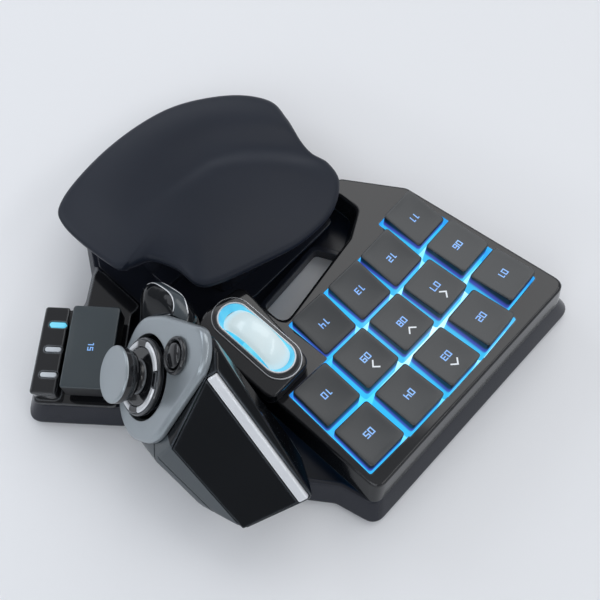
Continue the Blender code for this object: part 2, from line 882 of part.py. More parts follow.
def fork_post_places():
    side = wheel_width / 2 + run_gap + fork_wall + fork_pin_radius * 2
    return [(wheel_x - side, wheel_y - wheel_radius / 2), (wheel_x + side, wheel_y - wheel_radius / 2)]


def make_wheel():
    """A lit scroll wheel on its axle, carried by a fork that sinks onto a switch."""
    half = wheel_width / 2
    edge = tyre_thickness / 3
    hub_radius = wheel_radius - tyre_thickness
    sideways = Matrix.Rotation(math.radians(90), 4, "Y")
    tyre = spin("wheel_tyre", [
        (hub_radius + gap, -half), (wheel_radius - edge, -half), (wheel_radius, -half + edge),
        (wheel_radius, half - edge), (wheel_radius - edge, half), (hub_radius + gap, half),
    ], wheel_steps, True, glow_white)
    bore = axle_radius + gap
    hub_half = half - run_gap
    hub = spin("wheel_hub", [
        (bore, -hub_half), (bore * 2, -hub_half), (bore * 2, -hub_half / 2),
        (hub_radius - edge, -hub_half / 2),
        (hub_radius - edge, -hub_half), (hub_radius, -hub_half), (hub_radius, hub_half),
        (hub_radius - edge, hub_half), (hub_radius - edge, hub_half / 2), (bore * 2, hub_half / 2),
        (bore * 2, hub_half), (bore, hub_half),
    ], wheel_steps, True, key_black)
    axle_half = half + run_gap + fork_wall + run_gap
    axle = spin("wheel_axle", [(axle_radius, -axle_half), (axle_radius, axle_half)], small_steps,
                False, steel)
    for piece in (tyre, hub, axle):
        piece.data.transform(sideways)
        piece.location = (wheel_x, wheel_y, axle_height)

    inner = half + run_gap
    outer = inner + fork_wall
    near = -wheel_radius - run_gap * 2
    ear = outer + fork_pin_radius * 4
    ear_at = -wheel_radius / 2
    ear_half = fork_pin_radius * 2
    far = fork_height
    outline = [
        (-outer, near - fork_wall), (outer, near - fork_wall), (outer, ear_at - ear_half),
        (ear, ear_at - ear_half), (ear, ear_at + ear_half), (outer, ear_at + ear_half), (outer, far),
        (inner, far), (inner, near), (-inner, near), (-inner, far), (-outer, far),
        (-outer, ear_at + ear_half), (-ear, ear_at + ear_half), (-ear, ear_at - ear_half),
        (-outer, ear_at - ear_half),
    ]
    placed = [(wheel_x + x, wheel_y + y) for x, y in outline]
    fork = prism("wheel_cradle", placed, fork_low, fork_low + fork_foot, key_black)
    uprights = tools("fork_uprights", [
        rectangle(wheel_x + side * inner if side > 0 else wheel_x - outer,
                  wheel_x + outer if side > 0 else wheel_x - inner,
                  wheel_y - fork_height / 2, wheel_y + fork_height / 2)
        for side in (-1, 1)
    ], fork_low + fork_foot / 2, axle_height + fork_height / 2)
    axle_bore = rod("fork_bore", axle_radius + gap, (wheel_x - outer * 2, wheel_y, axle_height),
                    (wheel_x + outer * 2, wheel_y, axle_height))
    pins = tools("fork_pin_bores", circles(fork_pin_radius + gap, fork_post_places()), 0.0, axle_height)
    cut(join(fork, uprights), axle_bore, pins)
    set_origin(fork, (wheel_x, wheel_y, axle_height))
    switch_half = fork_wall
    prism("wheel_switch", rectangle(wheel_x + inner, wheel_x + outer + switch_half,
                                    wheel_y + far / 2, wheel_y + far + switch_half),
          floor_top + gap, fork_low - wheel_click - gap, dark_rubber)


def make_wheel_deck():
    """The raised cover over the wheel, with an oblong ring let into its top."""
    outline = [
        *scaled(deck_near_shares, deck_right, deck_near),
        (deck_right, -deck_far),
        (deck_left + window_skew, -deck_far),
    ]
    edge = panel_edge
    low = rounded(outline, panel_corner / 2)
    high = rounded(inset(outline, edge), panel_corner / 2)
    inner = rounded(inset(outline, deck_wall), panel_corner / 2)
    deck = loft("wheel_deck", [
        [Vector((x, y, panel_height(y) + gap)) for x, y in low],
        level(low, deck_height - edge),
        level(high, deck_height),
    ], gloss_black)
    cavity = tools("deck_cavity", [inner], seam_height, deck_height - deck_wall)
    centre = (wheel_x, wheel_y)
    sleeve_length = bezel_length - bezel_rim * 2
    sleeve_width = bezel_width - bezel_rim
    hole = tools("deck_hole", [slot_outline(sleeve_length + gap * 2, sleeve_width + gap * 2, centre)],
                 seam_height, deck_height * 2)
    cut(deck, cavity, hole)
    top = deck_height + gap + bezel_stand
    bezel = loft("wheel_bezel", [
        level(slot_outline(sleeve_length, sleeve_width, centre), deck_height - bezel_depth),
        level(slot_outline(sleeve_length, sleeve_width, centre), deck_height + gap),
        level(slot_outline(bezel_length, bezel_width, centre), deck_height + gap),
        level(slot_outline(bezel_length, bezel_width, centre), top - bezel_stand / 2),
        level(slot_outline(bezel_length - bezel_stand, bezel_width - bezel_stand, centre), top),
    ], chrome)
    opening_outline = slot_outline(sleeve_length - bezel_rim, sleeve_width - bezel_rim, centre)
    opening = tools("bezel_opening", [opening_outline], seam_height, deck_height * 2)
    return smooth(cut(bezel, opening))


def face_matrix():
    """The thumb face's own frame: X along the plate, Y across it and Z out of it."""
    azimuth = Matrix.Rotation(math.radians(face_azimuth), 4, "Z")
    tip = Matrix.Rotation(math.radians(face_tip), 4, "Y")
    roll = Matrix.Rotation(math.radians(face_roll), 4, "Z")
    return Matrix.Translation((face_x, face_y, face_z)) @ azimuth @ tip @ roll


def face_point(x, y, z):
    return face_matrix() @ Vector((x, y, z))


def face_corners(distance=0.0):
    left = pad_radius + pad_gap + face_rim
    outline = [
        *scaled(face_left_shares, left, face_half_width),
        *scaled(face_right_shares, face_reach, face_half_width),
        *scaled(face_top_shares, left, face_half_width),
    ]
    return inset(outline, distance)


def cover_normal():
    across = Vector(cover_near_right) - Vector(cover_near_left)
    along = Vector(cover_far_left) - Vector(cover_near_left)
    return across.cross(along).normalized()


def cover_height(x, y):
    normal = cover_normal()
    start = Vector(cover_near_left)
    return start.z - (normal.x * (x - start.x) + normal.y * (y - start.y)) / normal.z


def pod_points():
    """The corners whose convex hull is the pod's outer form."""
    back = -face_thickness - gap
    ring = [face_point(x, y, back) for x, y in rounded(face_corners(), face_corner)]
    far_x, far_y = cover_far_right
    crest = [(x - crest_lean, y, z - crest_drop) for x, y, z in (cover_near_left, cover_far_left)]
    foot = seam_height + gap
    right = pod_base_right - pod_foot_inset
    near = -pod_side_near
    base = [
        (right, near), (right, pod_base_shares[1][1] * pod_base_far),
        (right * pod_base_shares[2][0], pod_base_far - pod_foot_inset),
        (right * pod_base_shares[3][0], pod_base_far * 2), (pod_inner, pod_base_far), (pod_inner, -pod_near),
    ]
    top = [cover_near_left, cover_near_right, cover_far_left, (far_x, far_y, cover_height(far_x, far_y))]
    return ring + crest + top + [shoulder_near, shoulder_far] + [(x, y, foot) for x, y in base]


def shrunk(points, distance):
    """Draws points towards the middle of their box, by one distance on each side."""
    vectors = [Vector(point) for point in points]
    low = Vector([min(v[axis] for v in vectors) for axis in range(3)])
    high = Vector([max(v[axis] for v in vectors) for axis in range(3)])
    middle = (low + high) / 2
    scale = [1 - 2 * distance / (high[axis] - low[axis]) for axis in range(3)]
    return [Vector([middle[axis] + (v[axis] - middle[axis]) * scale[axis] for axis in range(3)])
            for v in vectors]


def seam_block(name, upper, grown):
    """A large block above or below the pod's sloping seam."""
    reach = pod_base_right * 2
    shift = -grown if upper else grown
    heights = [pod_seam_height + pod_seam_slope_share * y + shift for y in (-reach, reach)]
    far_side = reach if upper else -reach
    rings = []
    for x in (-reach, reach):
        rings.append([Vector((x, -reach, heights[0])), Vector((x, reach, heights[1])),
                      Vector((x, reach, heights[1] + far_side)), Vector((x, -reach, heights[0] + far_side))])
    return loft(name, rings)


def face_tool(name, outlines, low, high):
    made = tools(name, outlines, low, high)
    made.matrix_local = face_matrix()
    return made


def cover_frame():
    """The cover's own frame: origin at its near crest corner, X down the slope, Y away."""
    start = Vector(cover_near_left)
    normal = cover_normal()
    along = (Vector(cover_far_left) - start)
    along = (along - normal * along.dot(normal)).normalized()
    across = along.cross(normal)
    turn = Matrix((across, along, normal)).transposed().to_4x4()
    return Matrix.Translation(start) @ turn


def cover_corners():
    frame = cover_frame().inverted()
    far_x, far_y = cover_far_right
    points = [cover_near_left, cover_near_right, (far_x, far_y, cover_height(far_x, far_y)), cover_far_left]
    flat = [frame @ Vector(point) for point in points]
    return [(point.x, point.y) for point in flat]


def make_pod():
    """The raised thumb pod: two shells, a sloping gloss cover, its strip and the neck."""
    points = pod_points()
    inner = shrunk(points, pod_wall)
    front = face_tool("face_opening", [rounded(face_corners(face_ledge), face_corner)],
                      -face_opening_depth, face_thickness)
    corners = cover_corners()
    plate = [
        (corners[0][0] + strip_width + gap, corners[0][1] + cover_margin),
        (corners[1][0], corners[1][1] + cover_margin),
        (corners[2][0], corners[2][1] - cover_margin),
        (corners[3][0] + strip_width + gap, corners[3][1] - cover_margin),
    ]
    near_y = corners[0][1] + cover_margin
    far_y = corners[3][1] - cover_margin
    strip = [
        (corners[0][0], near_y), (corners[0][0] + strip_width, near_y),
        (corners[3][0] + strip_width, far_y), (corners[3][0], far_y),
    ]
    upper = hull("pod_upper_shell", points, satin_blue)
    lower = hull("pod_lower_shell", points, satin_blue)
    for shell, keep_upper in ((upper, True), (lower, False)):
        side = "upper" if keep_upper else "lower"
        half = seam_block(f"seam_{side}", not keep_upper, gap / 2)
        clear = face_tool(f"face_clear_{side}", [rectangle(-reach_all, reach_all, -reach_all, reach_all)],
                          -face_thickness - gap / 2, reach_all)
        hollow = hull(f"hollow_{side}", inner)
        if not keep_upper:
            place = screw_places()[3:]
            cut(hollow, tools("pod_boss", circles(boss_radius, place), 0.0, screw_top + pod_wall))
            cut(shell, tools("pod_bore", circles(screw_radius + gap, place), 0.0, screw_top + gap))
        cut(shell, hollow, half, clear)
    cut(upper, front)
    lower_front = face_tool("face_opening_low", [rounded(face_corners(face_ledge), face_corner)],
                            -face_opening_depth, face_thickness)
    side_cut = rectangle(0.0, cover_near_left[0], -reach_all, -deck_near)
    cut(lower, lower_front, tools("pod_side_cut", [side_cut], neck_shoulder, reach_all))
    recess = tools("cover_recess", [inset(plate, -gap)], -cover_thickness - gap, overrun)
    recess.matrix_local = cover_frame()
    groove = tools("strip_groove", [inset(strip, -gap)], -strip_depth - gap, overrun)
    groove.matrix_local = cover_frame()
    cut(upper, recess, groove)
    cover = prism("pod_top_cover", plate, -cover_thickness, 0.0, gloss_black)
    cover.matrix_local = cover_frame()
    bar = prism("pod_silver_strip", strip, -strip_depth, strip_stand, chrome)
    bar.matrix_local = cover_frame()
    make_neck(points)


def make_neck(pod):
    """The glossy hump behind the thumb face, falling to the deck beside the palm rest."""
    low = track_top + gap
    inner = pod_inner - gap
    foot = [(neck_left, -neck_far), (neck_left, -neck_near + neck_round),
            (neck_left + neck_round, -neck_near), (neck_thumb, -neck_near + neck_round * 2),
            (inner, -neck_far)]
    shoulder = [(neck_left, -neck_far), (neck_left + neck_round / 3, -neck_near + neck_round),
                (neck_left + neck_round, -neck_near), (neck_thumb, -neck_near + neck_round * 2)]
    crown = [(neck_left + neck_round, -neck_far - neck_round), (neck_left + neck_round / 2, -neck_far),
             (inner, -neck_far + neck_round * 2), (inner, -neck_near + neck_round)]
    points = [(x, y, low) for x, y in foot]
    points += [(x, y, neck_shoulder * share) for (x, y), share in zip(shoulder, neck_shoulder_shares)]
    points += [(x, y, neck_crown * share) for (x, y), share in zip(crown, neck_crown_shares)]
    neck = hull("pod_neck", points, gloss_black)
    body = hull("neck_pod_cut", shrunk(pod, -gap * 2))
    deck = tools("neck_deck_cut", [rectangle(0.0, deck_right + gap, -deck_near - run_gap * 3, 0.0)], 0.0,
                 deck_height + bezel_stand)
    wing = tools("neck_wing_cut", [rectangle(wing_edge_x(), pod_base_right, -reach_all, 0.0)],
                 0.0, wing_plate_top + gap)
    return cut(neck, body, deck, wing)


def make_face():
    """The satin plate with the stick's pad, its gimbal and the round button."""
    frame = face_matrix()
    outline = rounded(face_corners(), face_corner)
    edge_outline = rounded(face_corners(face_edge), face_corner - face_edge)
    plate = loft("pod_face_plate", [
        level(outline, -face_thickness), level(outline, -face_edge), level(edge_outline, 0.0),
    ], satin_blue)
    board_front = -cradle_depth - gap
    posts = tools("face_posts", circles(boss_radius, face_post_places()),
                  board_front + gap, -face_thickness / 2)
    join(plate, posts)
    sleeve = button_radius + run_gap + button_sleeve_wall
    pad_hole = tools("pad_hole", [circle(pad_radius + pad_gap, pad_steps)], -face_reach, face_reach)
    button_hole = tools("button_hole", circles(sleeve + gap, [(button_x, button_y)], round_steps),
                        -face_reach, face_reach)
    cut(plate, pad_hole, button_hole)

    pad_top = pad_stand
    groove_in = ring_groove_radius - ring_width / 2
    groove_out = ring_groove_radius + ring_width / 2
    pad_low = pad_top - pad_thickness
    stem = gimbal_inner / 2
    pad = spin("thumb_pad", [
        (stem, -pivot_depth - gimbal_thickness / 2), (stem, pad_low), (pad_radius - face_edge, pad_low),
        (pad_radius, pad_low + face_edge), (pad_radius, pad_top - face_edge),
        (pad_radius - face_edge / 2, pad_top), (groove_out + gap, pad_top),
        (groove_out + gap, pad_top - ring_height),
        (groove_in - gap, pad_top - ring_height), (groove_in - gap, pad_top),
        (stick_post_radius + gap, pad_top), (stick_post_radius + gap, pad_low),
    ], round_steps, False, key_black)
    pins = rod("pad_pins", pin_radius, (0.0, -gimbal_outer + run_gap, -pivot_depth),
               (0.0, gimbal_outer - run_gap, -pivot_depth))
    join(pad, pins)
    spin("thumb_pad_ring", [
        (groove_in, pad_top - ring_height + gap), (groove_out, pad_top - ring_height + gap),
        (groove_out, pad_top + ring_height / 2), (groove_in, pad_top + ring_height / 2),
    ], pad_steps, True, chrome)
    cap_low = stick_height - stick_cap_thickness
    spin("thumbstick_cap", [
        (stick_post_radius, pad_low + gap * 2), (stick_post_radius, pad_top + gap),
        (stick_neck_radius + gap * 3, pad_top + gap), (stick_neck_radius, pad_top + ring_height),
        (stick_neck_radius, cap_low), (stick_radius, cap_low), (stick_radius, stick_height - face_edge),
        (stick_radius - face_edge, stick_height), (stick_radius / 2, stick_height - key_dish),
    ], round_steps, False, satin_blue)
    ring = spin("gimbal_ring", [
        (gimbal_inner, -gimbal_thickness / 2), (gimbal_outer, -gimbal_thickness / 2),
        (gimbal_outer, gimbal_thickness / 2), (gimbal_inner, gimbal_thickness / 2),
    ], round_steps, True, steel)
    cradle_inner = gimbal_outer + run_gap
    cradle_outer = cradle_inner + cradle_wall
    ring_pins = [rod(f"ring_pin_{side}", pin_radius, (gimbal_inner + run_gap, 0.0, 0.0),
                     (cradle_outer - gap, 0.0, 0.0)) for side in (1, 2)]
    ring_pins[1].rotation_euler = (0.0, 0.0, math.radians(180))
    ring_bore = rod("ring_bore", pin_radius + gap, (0.0, -cradle_outer, 0.0), (0.0, cradle_outer, 0.0))
    cut(join(ring, *ring_pins), ring_bore)
    floor = -cradle_depth
    cradle = spin("gimbal_cradle", [
        (cradle_outer, floor), (cradle_outer, -pivot_depth + cradle_rise),
        (cradle_inner, -pivot_depth + cradle_rise), (cradle_inner, floor + cradle_wall / 2),
    ], round_steps, False, key_black)
    cradle_bore = rod("cradle_bore", pin_radius + gap, (-cradle_outer * 2, 0.0, -pivot_depth),
                      (cradle_outer * 2, 0.0, -pivot_depth))
    cut(cradle, cradle_bore)
    low = board_front - thumb_board_thickness
    board = prism("thumb_board", scaled(thumb_board_shares, face_reach, face_half_width),
                  low, board_front, board_green)
    switch = tools("thumb_switch", [rectangle(button_x - button_radius / 2, button_x + button_radius / 2,
                                              button_y - button_radius / 2, button_y + button_radius / 2)],
                   board_front - gap, board_front + button_switch_height)
    join(board, switch)
    flange = button_ring_radius
    button_ring = spin("thumb_button_ring", [
        (button_radius + run_gap, -face_thickness), (sleeve, -face_thickness), (sleeve, gap),
        (flange, gap), (flange - gap, bezel_stand), (flange - bezel_stand, bezel_stand + gap),
        (button_radius + run_gap, bezel_stand),
    ], round_steps, True, gloss_black)
    shaft_end = board_front + button_switch_height + button_travel + gap
    button = spin("thumb_button", [
        (button_radius / 2, shaft_end), (button_radius / 2, -face_thickness / 2),
        (button_radius, -face_thickness / 2),
        (button_radius, bezel_stand + gap), (button_radius - key_edge, bezel_stand * 2),
        (button_radius / 2, bezel_stand * 2 - key_dish),
    ], round_steps, False, key_black)
    for piece in (plate, pad, cradle, board):
        piece.matrix_local = frame
    for name in ("thumb_pad_ring", "thumbstick_cap"):
        bpy.data.objects[name].matrix_local = frame
    pivot = frame @ Matrix.Translation((0.0, 0.0, -pivot_depth))
    ring.matrix_local = pivot
    for piece in (pad, bpy.data.objects["thumb_pad_ring"], bpy.data.objects["thumbstick_cap"]):
        piece.data.transform(Matrix.Translation((0.0, 0.0, pivot_depth)))
        piece.matrix_local = pivot
    pins.data.transform(Matrix.Translation((0.0, 0.0, pivot_depth)))
    pins.matrix_local = pivot
    for tool in (posts, pad_hole, button_hole, cradle_bore, switch):
        tool.matrix_local = frame
    for tool in (*ring_pins, ring_bore):
        tool.matrix_local = pivot @ tool.matrix_local
    for piece in (button_ring, button):
        piece.matrix_local = frame @ Matrix.Translation((button_x, button_y, 0.0))


def face_post_places():
    return scaled(face_post_shares, face_reach, face_half_width)


def palm_unit_outline():
    """A closed smooth curve through the palm rest's chosen corner shares."""
    points = []
    count = len(palm_outline_shares)
    for index in range(count):
        a, b, c, d = (Vector(palm_outline_shares[(index + k) % count]) for k in (-1, 0, 1, 2))
        for step in range(palm_steps):
            t = step / palm_steps
            square = (a * 2 - b * 5 + c * 4 - d) * t * t
            cube = (b * 3 - a - c * 3 + d) * t ** 3
            point = b * 2 + (c - a) * t + square + cube
            points.append((point.x / 2, point.y / 2))
    return points


def palm_place(u, v):
    x = (palm_right - palm_left) / 2 + u * (palm_right + palm_left) / 2
    y = -(palm_front + palm_back) / 2 + v * (palm_back - palm_front) / 2
    return x, y


def palm_plane(x, y):
    """The tilted plane of the palm rest's rim, rising to the front and the thumb side."""
    return palm_ref_z + palm_slope_x_share * (x + palm_left) + palm_slope_y_share * (y + palm_front)


def palm_swell(u, v, s):
    """Crown, front mound and the crease that runs in from the waist."""
    crown = palm_crown * (1 - s ** 2)
    bend = max(0.0, -u + valley_start_share)
    line = valley_line_share + valley_bend_share * bend ** 2
    width = valley_near_share if v > line else valley_far_share
    fade = max(0.0, min(1.0, (valley_fade_share - u) / (valley_fade_share + 1)))
    valley = palm_valley * fade * math.exp(-((v - line) / width) ** 2)
    return crown - valley * (1 - s ** 6)


def make_palm_rest():
    """A soft rest on a sliding carrier that runs on two rails of the tail."""
    unit = palm_unit_outline()
    rings = []
    for s, drop in palm_ring_table():
        ring = []
        for u, v in unit:
            x, y = palm_place(u * s, v * s)
            rise = palm_swell(u * s, v * s, s) if drop is None else -drop
            ring.append(Vector((x, y, palm_plane(x, y) + rise)))
        rings.append(ring)
    smooth(loft("palm_pad", rings, soft_touch), palm_smooth_angle)

    carrier_outline = [palm_place(u, v) for u, v in carrier_shares]
    low = track_top + gap
    def on_plane(points, drop):
        return [Vector((x, y, palm_plane(x, y) - drop)) for x, y in points]
    outer = rounded(carrier_outline, base_corner)
    under = palm_thickness + gap
    carrier = loft("palm_carrier", [level(outer, low), on_plane(outer, under)], shell_black)
    hollow_places = [palm_place(u, v) for u, v in carrier_hollow_shares]
    hollow_outline = rounded(inset(hollow_places, carrier_wall), base_corner)
    hollow = loft("carrier_hollow", [level(hollow_outline, low + carrier_wall),
                                     on_plane(hollow_outline, under + carrier_wall)])
    half_web = rail_width / 2
    slots = tools("rail_slots", [
        rectangle(x - half_web - gap, x + half_web + gap, -rail_near - run_gap,
                  -rail_near + rail_length + palm_travel + run_gap) for x in rail_places()
    ], 0.0, low + carrier_wall * 2)
    latch_slot = rectangle(latch_x() - latch_length * 2, latch_x() + latch_length * 2,
                           -latch_y - latch_length / 2 - gap, -latch_y + latch_length / 2 + gap)
    latch_hole = tools("latch_hole", [latch_slot], latch_low - gap, latch_low + latch_height + gap)
    kept = rectangle(-tail_left * 2, rail_places()[1] + rail_head, -tail_end * 2, 0.0)
    keep_left = tools("latch_keep", [kept], 0.0, deck_height * 2)
    cut(latch_hole, keep_left)
    cut(carrier, hollow, slots, latch_hole)

    near = -window_near - base_wall - gap
    track_outline = [
        (track_start_shares[0] * window_left, near),
        (track_start_shares[1] * arm_left, -arm_reach + shell_wall * 2 - gap),
        (track_start_shares[2] * tail_left, -arm_reach - shell_wall),
        *tail_corners(),
        (wing_edge_x() - gap, -neck_far - gap),
        (window_right, -neck_far - gap),
        (window_right, near),
    ]
    track = prism("palm_track", rounded(inset(track_outline, gap), base_corner / 2),
                  tail_height + gap, track_top, shell_black)
    web_top = low + carrier_wall + gap
    rail_far = -rail_near + rail_length
    webs = tools("rail_webs", [
        rectangle(x - half_web, x + half_web, -rail_near, rail_far) for x in rail_places()
    ], track_top - track_thickness / 2, web_top + rail_head_height)
    half_head = rail_head / 2
    heads = tools("rail_heads", [
        rectangle(x - half_head, x + half_head, -rail_near, rail_far) for x in rail_places()
    ], web_top, web_top + rail_head_height)
    join(track, webs, heads)
    half = latch_length / 2 - gap
    x = latch_x()
    latch = prism("palm_latch", [
        (x - latch_length, -latch_y - half), (x + latch_travel + gap, -latch_y - half),
        (x + latch_travel + gap, -latch_y + half), (x - latch_length, -latch_y + half),
    ], latch_low + gap, latch_low + latch_height - gap, satin_blue)
    set_origin(latch, (x, -latch_y, latch_low))


def rail_places():
    return (-rail_x / 2, rail_x)


def latch_x():
    """Where the carrier's thumb-side wall stands at the latch."""
    return palm_place(carrier_shares[1][0], 0.0)[0]


def palm_ring_table():
    """Pairs of outline share and depth under the rim plane; None marks the swelling top."""
    under = [palm_thickness, palm_thickness - palm_lip / 2, palm_lip, palm_lip / 4]
    table = list(zip(palm_under_shares, under))
    return table + [(s, None) for s in palm_ring_shares]


def make_fasteners():
    for index, (x, y) in enumerate(screw_places(), 1):
        low = foot_height + gap
        head = low + screw_head_height - gap
        screw = spin(f"case_screw_{index}", [
            (screw_head_radius, low), (screw_head_radius, head), (screw_radius, head),
            (screw_radius, screw_top),
        ], small_steps, False, steel)
        screw.location = (x, y, 0.0)
    for index, (x, y) in enumerate(foot_places(), 1):
        foot = spin(f"rubber_foot_{index}", [
            (foot_radius - foot_inset, 0.0), (foot_radius, foot_inset),
            (foot_radius, foot_height + foot_inset - gap),
        ], foot_steps, False, dark_rubber)
        foot.location = (x, y, 0.0)
    start, end = gland_ends()
    start, end = Vector(start), Vector(end)
    along = (end - start).normalized()
    length = (end - start).length
    gland = spin("cable_gland", [
        (gland_bore, 0.0), (gland_radius, 0.0), (gland_radius, length - gland_wall),
        (gland_flange, length - gland_wall),
        (gland_flange, length), (gland_bore, length),
    ], round_steps, True, dark_rubber)
    gland.matrix_local = Matrix.Translation(start) @ along.to_track_quat("Z", "Y").to_matrix().to_4x4()


def gland_ends():
    """The cable's way through the left wall, away from the thumb side."""
    x = -panel_left
    height = (floor_top + seam_height) / 2
    return (x - base_flare / 2, -gland_length, height), (x + gland_length, -gland_length, height)


def centre_on_floor():
    """Moves the whole model so that the middle of its footprint is the origin."""
    bpy.context.view_layer.update()
    graph = bpy.context.evaluated_depsgraph_get()
    corners = []
    for item in bpy.data.objects:
        if item.type == "MESH" and not item.hide_render:
            solid = item.evaluated_get(graph)
            corners += [solid.matrix_world @ vertex.co for vertex in solid.data.vertices]
    middle_x = (min(c.x for c in corners) + max(c.x for c in corners)) / 2
    middle_y = (min(c.y for c in corners) + max(c.y for c in corners)) / 2
    root.location = (-middle_x, -middle_y, 0.0)


clear_scene()
root = bpy.data.objects.new("keypad", None)
bpy.context.scene.collection.objects.link(root)

gloss_black = make_material("gloss_black", (0.012, 0.012, 0.014), 0.08)
shell_black = make_material("shell_black", (0.03, 0.032, 0.038), 0.42)
key_black = make_material("key_black", (0.035, 0.037, 0.045), 0.38)
soft_touch = make_material("soft_touch", (0.060, 0.066, 0.085), 0.62)
satin_blue = make_material("satin_blue", (0.16, 0.18, 0.21), 0.36)
chrome = make_material("chrome", (0.75, 0.77, 0.80), 0.12, 1.0)
steel = make_material("steel", (0.55, 0.56, 0.58), 0.30, 1.0)
glow_blue = make_material("glow_blue", (0.10, 0.55, 0.95), 0.30, 0.0, 4.0)
glow_white = make_material("glow_white", (0.80, 0.95, 1.0), 0.25, 0.0, 3.0)
lamp_white = make_material("lamp_white", (0.80, 0.84, 0.90), 0.30)
board_green = make_material("board_green", (0.02, 0.16, 0.08), 0.45)
dark_rubber = make_material("dark_rubber", (0.03, 0.03, 0.03), 0.80)

make_base_shell()
make_top_shell()
make_light_guide()
make_boards()
make_keys()
make_wing()
make_wheel()
make_wheel_deck()
make_pod()
make_face()
make_palm_rest()
make_fasteners()
centre_on_floor()
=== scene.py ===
import math

import bmesh
import bpy
from mathutils import Matrix, Vector


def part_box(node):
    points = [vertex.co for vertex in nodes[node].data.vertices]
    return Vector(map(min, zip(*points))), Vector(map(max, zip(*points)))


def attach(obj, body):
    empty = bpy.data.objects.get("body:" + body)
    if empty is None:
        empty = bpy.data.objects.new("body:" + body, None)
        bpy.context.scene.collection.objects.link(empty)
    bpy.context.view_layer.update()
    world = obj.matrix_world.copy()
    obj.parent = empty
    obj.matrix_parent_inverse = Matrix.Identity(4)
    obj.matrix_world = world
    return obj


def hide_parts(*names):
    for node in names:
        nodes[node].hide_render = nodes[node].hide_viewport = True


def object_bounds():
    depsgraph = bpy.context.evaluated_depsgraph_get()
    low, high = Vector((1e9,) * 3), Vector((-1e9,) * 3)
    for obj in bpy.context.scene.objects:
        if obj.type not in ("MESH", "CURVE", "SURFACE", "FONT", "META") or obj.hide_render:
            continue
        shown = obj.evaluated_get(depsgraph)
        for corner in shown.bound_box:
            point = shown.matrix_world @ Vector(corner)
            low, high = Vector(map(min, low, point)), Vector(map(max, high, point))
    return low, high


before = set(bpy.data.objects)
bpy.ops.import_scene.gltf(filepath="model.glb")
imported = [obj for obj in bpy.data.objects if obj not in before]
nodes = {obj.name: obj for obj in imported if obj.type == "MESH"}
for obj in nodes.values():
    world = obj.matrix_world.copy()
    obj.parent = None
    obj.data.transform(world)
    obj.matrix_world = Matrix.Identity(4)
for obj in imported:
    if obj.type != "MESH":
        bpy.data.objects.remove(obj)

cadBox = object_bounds()
scene = bpy.context.scene

# the layout is drawn round a point under the middle finger key, X to the thumb, Y away from the user
layout = {
    "middleKeyRise": 0.001015,    # how far key 08 stands from that point
    "clearance": 0.0003, "cornerLimit": 0.35, "cornerRoom": 0.48,
    "meltFactor": 0.5, "meltTurns": 22, "normalWeight": 80, "thinCut": 0.0000001,
}


def nodeMiddle(nodeName):
    low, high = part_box(nodeName)
    return (low + high) / 2


middleKey = nodeMiddle("key_08")
shift = Vector((middleKey.x, middleKey.y - layout["middleKeyRise"], 0.0))
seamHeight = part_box("base_shell")[1].z
gap = layout["clearance"]


# flat outlines
def scaled(shares, xSize, ySize):
    return [(x * xSize, y * ySize) for x, y in shares]


def around(points):
    # each point of a closed outline between its neighbours
    flat = [Vector(point) for point in points]
    return zip(flat[-1:] + flat[:-1], flat, flat[1:] + flat[:1])


def inset(points, distance):
    moved = []
    for before, here, after in around(points):
        first, second = (here - before).normalized(), (after - here).normalized()
        normal = Vector((-first.y, first.x))
        half = (normal + Vector((-second.y, second.x))).normalized()
        moved.append(tuple(here + half * (distance / max(half.dot(normal), layout["cornerLimit"]))))
    return moved


def rounded(points, radius, steps=6):
    outline = []
    for before, here, after in around(points):
        into, out = (before - here).normalized(), (after - here).normalized()
        room = min((before - here).length, (after - here).length) * layout["cornerRoom"]
        reach = min(radius / math.tan(into.angle(out) / 2), room)
        start, end = here + into * reach, here + out * reach
        for step in range(steps + 1):
            share = step / steps
            outline.append(tuple(start.lerp(here, share).lerp(here.lerp(end, share), share)))
    return outline


def turnedPoints(points, degrees, centre=(0.0, 0.0)):
    c, s = math.cos(math.radians(degrees)), math.sin(math.radians(degrees))
    return [(centre[0] + x * c - y * s, centre[1] + x * s + y * c) for x, y in points]


def rect(left, right, near, far):
    return [(left, near), (right, near), (right, far), (left, far)]


def ringPoints(radius, steps, centre=(0.0, 0.0)):
    return [(centre[0] + radius * math.cos(2 * math.pi * k / steps),
             centre[1] + radius * math.sin(2 * math.pi * k / steps)) for k in range(steps)]


def oblong(length, width, centre=(0.0, 0.0), steps=16):
    points = []
    for end, startAngle in ((1, 0.0), (-1, math.pi)):
        for step in range(steps + 1):
            angle = startAngle + math.pi * step / steps
            points.append((centre[0] + width / 2 * math.cos(angle),
                           centre[1] + end * (length - width) / 2 + width / 2 * math.sin(angle)))
    return points


def quarter(steps, first=0):
    # the steps of a round edge: how far in it has come, and how far it still is from the top
    angles = [math.pi / 2 * step / steps for step in range(first, steps + 1)]
    return [(1 - math.cos(angle), 1 - math.sin(angle)) for angle in angles]


def roundEdge(outerRadius, topHeight, size, steps):
    return [(outerRadius - size * inward, topHeight - size * below) for inward, below in quarter(steps)]


def level(outline, height):
    return [Vector((x, y, height)) for x, y in outline]


# forms between rings of points
def skin(shape, rings, closed=False):
    loops = [[shape.verts.new(point) for point in ring] for ring in rings]
    for low, high in zip(loops, loops[1:] + (loops[:1] if closed else [])):
        for index in range(len(low)):
            after = (index + 1) % len(low)
            shape.faces.new((low[index], low[after], high[after], high[index]))
    if not closed:
        shape.faces.new(list(reversed(loops[0])))
        shape.faces.new(loops[-1])
    return shape


def lofted(rings, closed=False):
    return skin(bmesh.new(), rings, closed)


def prism(outline, low, high):
    return lofted([level(outline, low), level(outline, high)])


def rods(spots, radius, sides, low, high):
    return [prism(ringPoints(radius, sides, spot), low, high) for spot in spots]


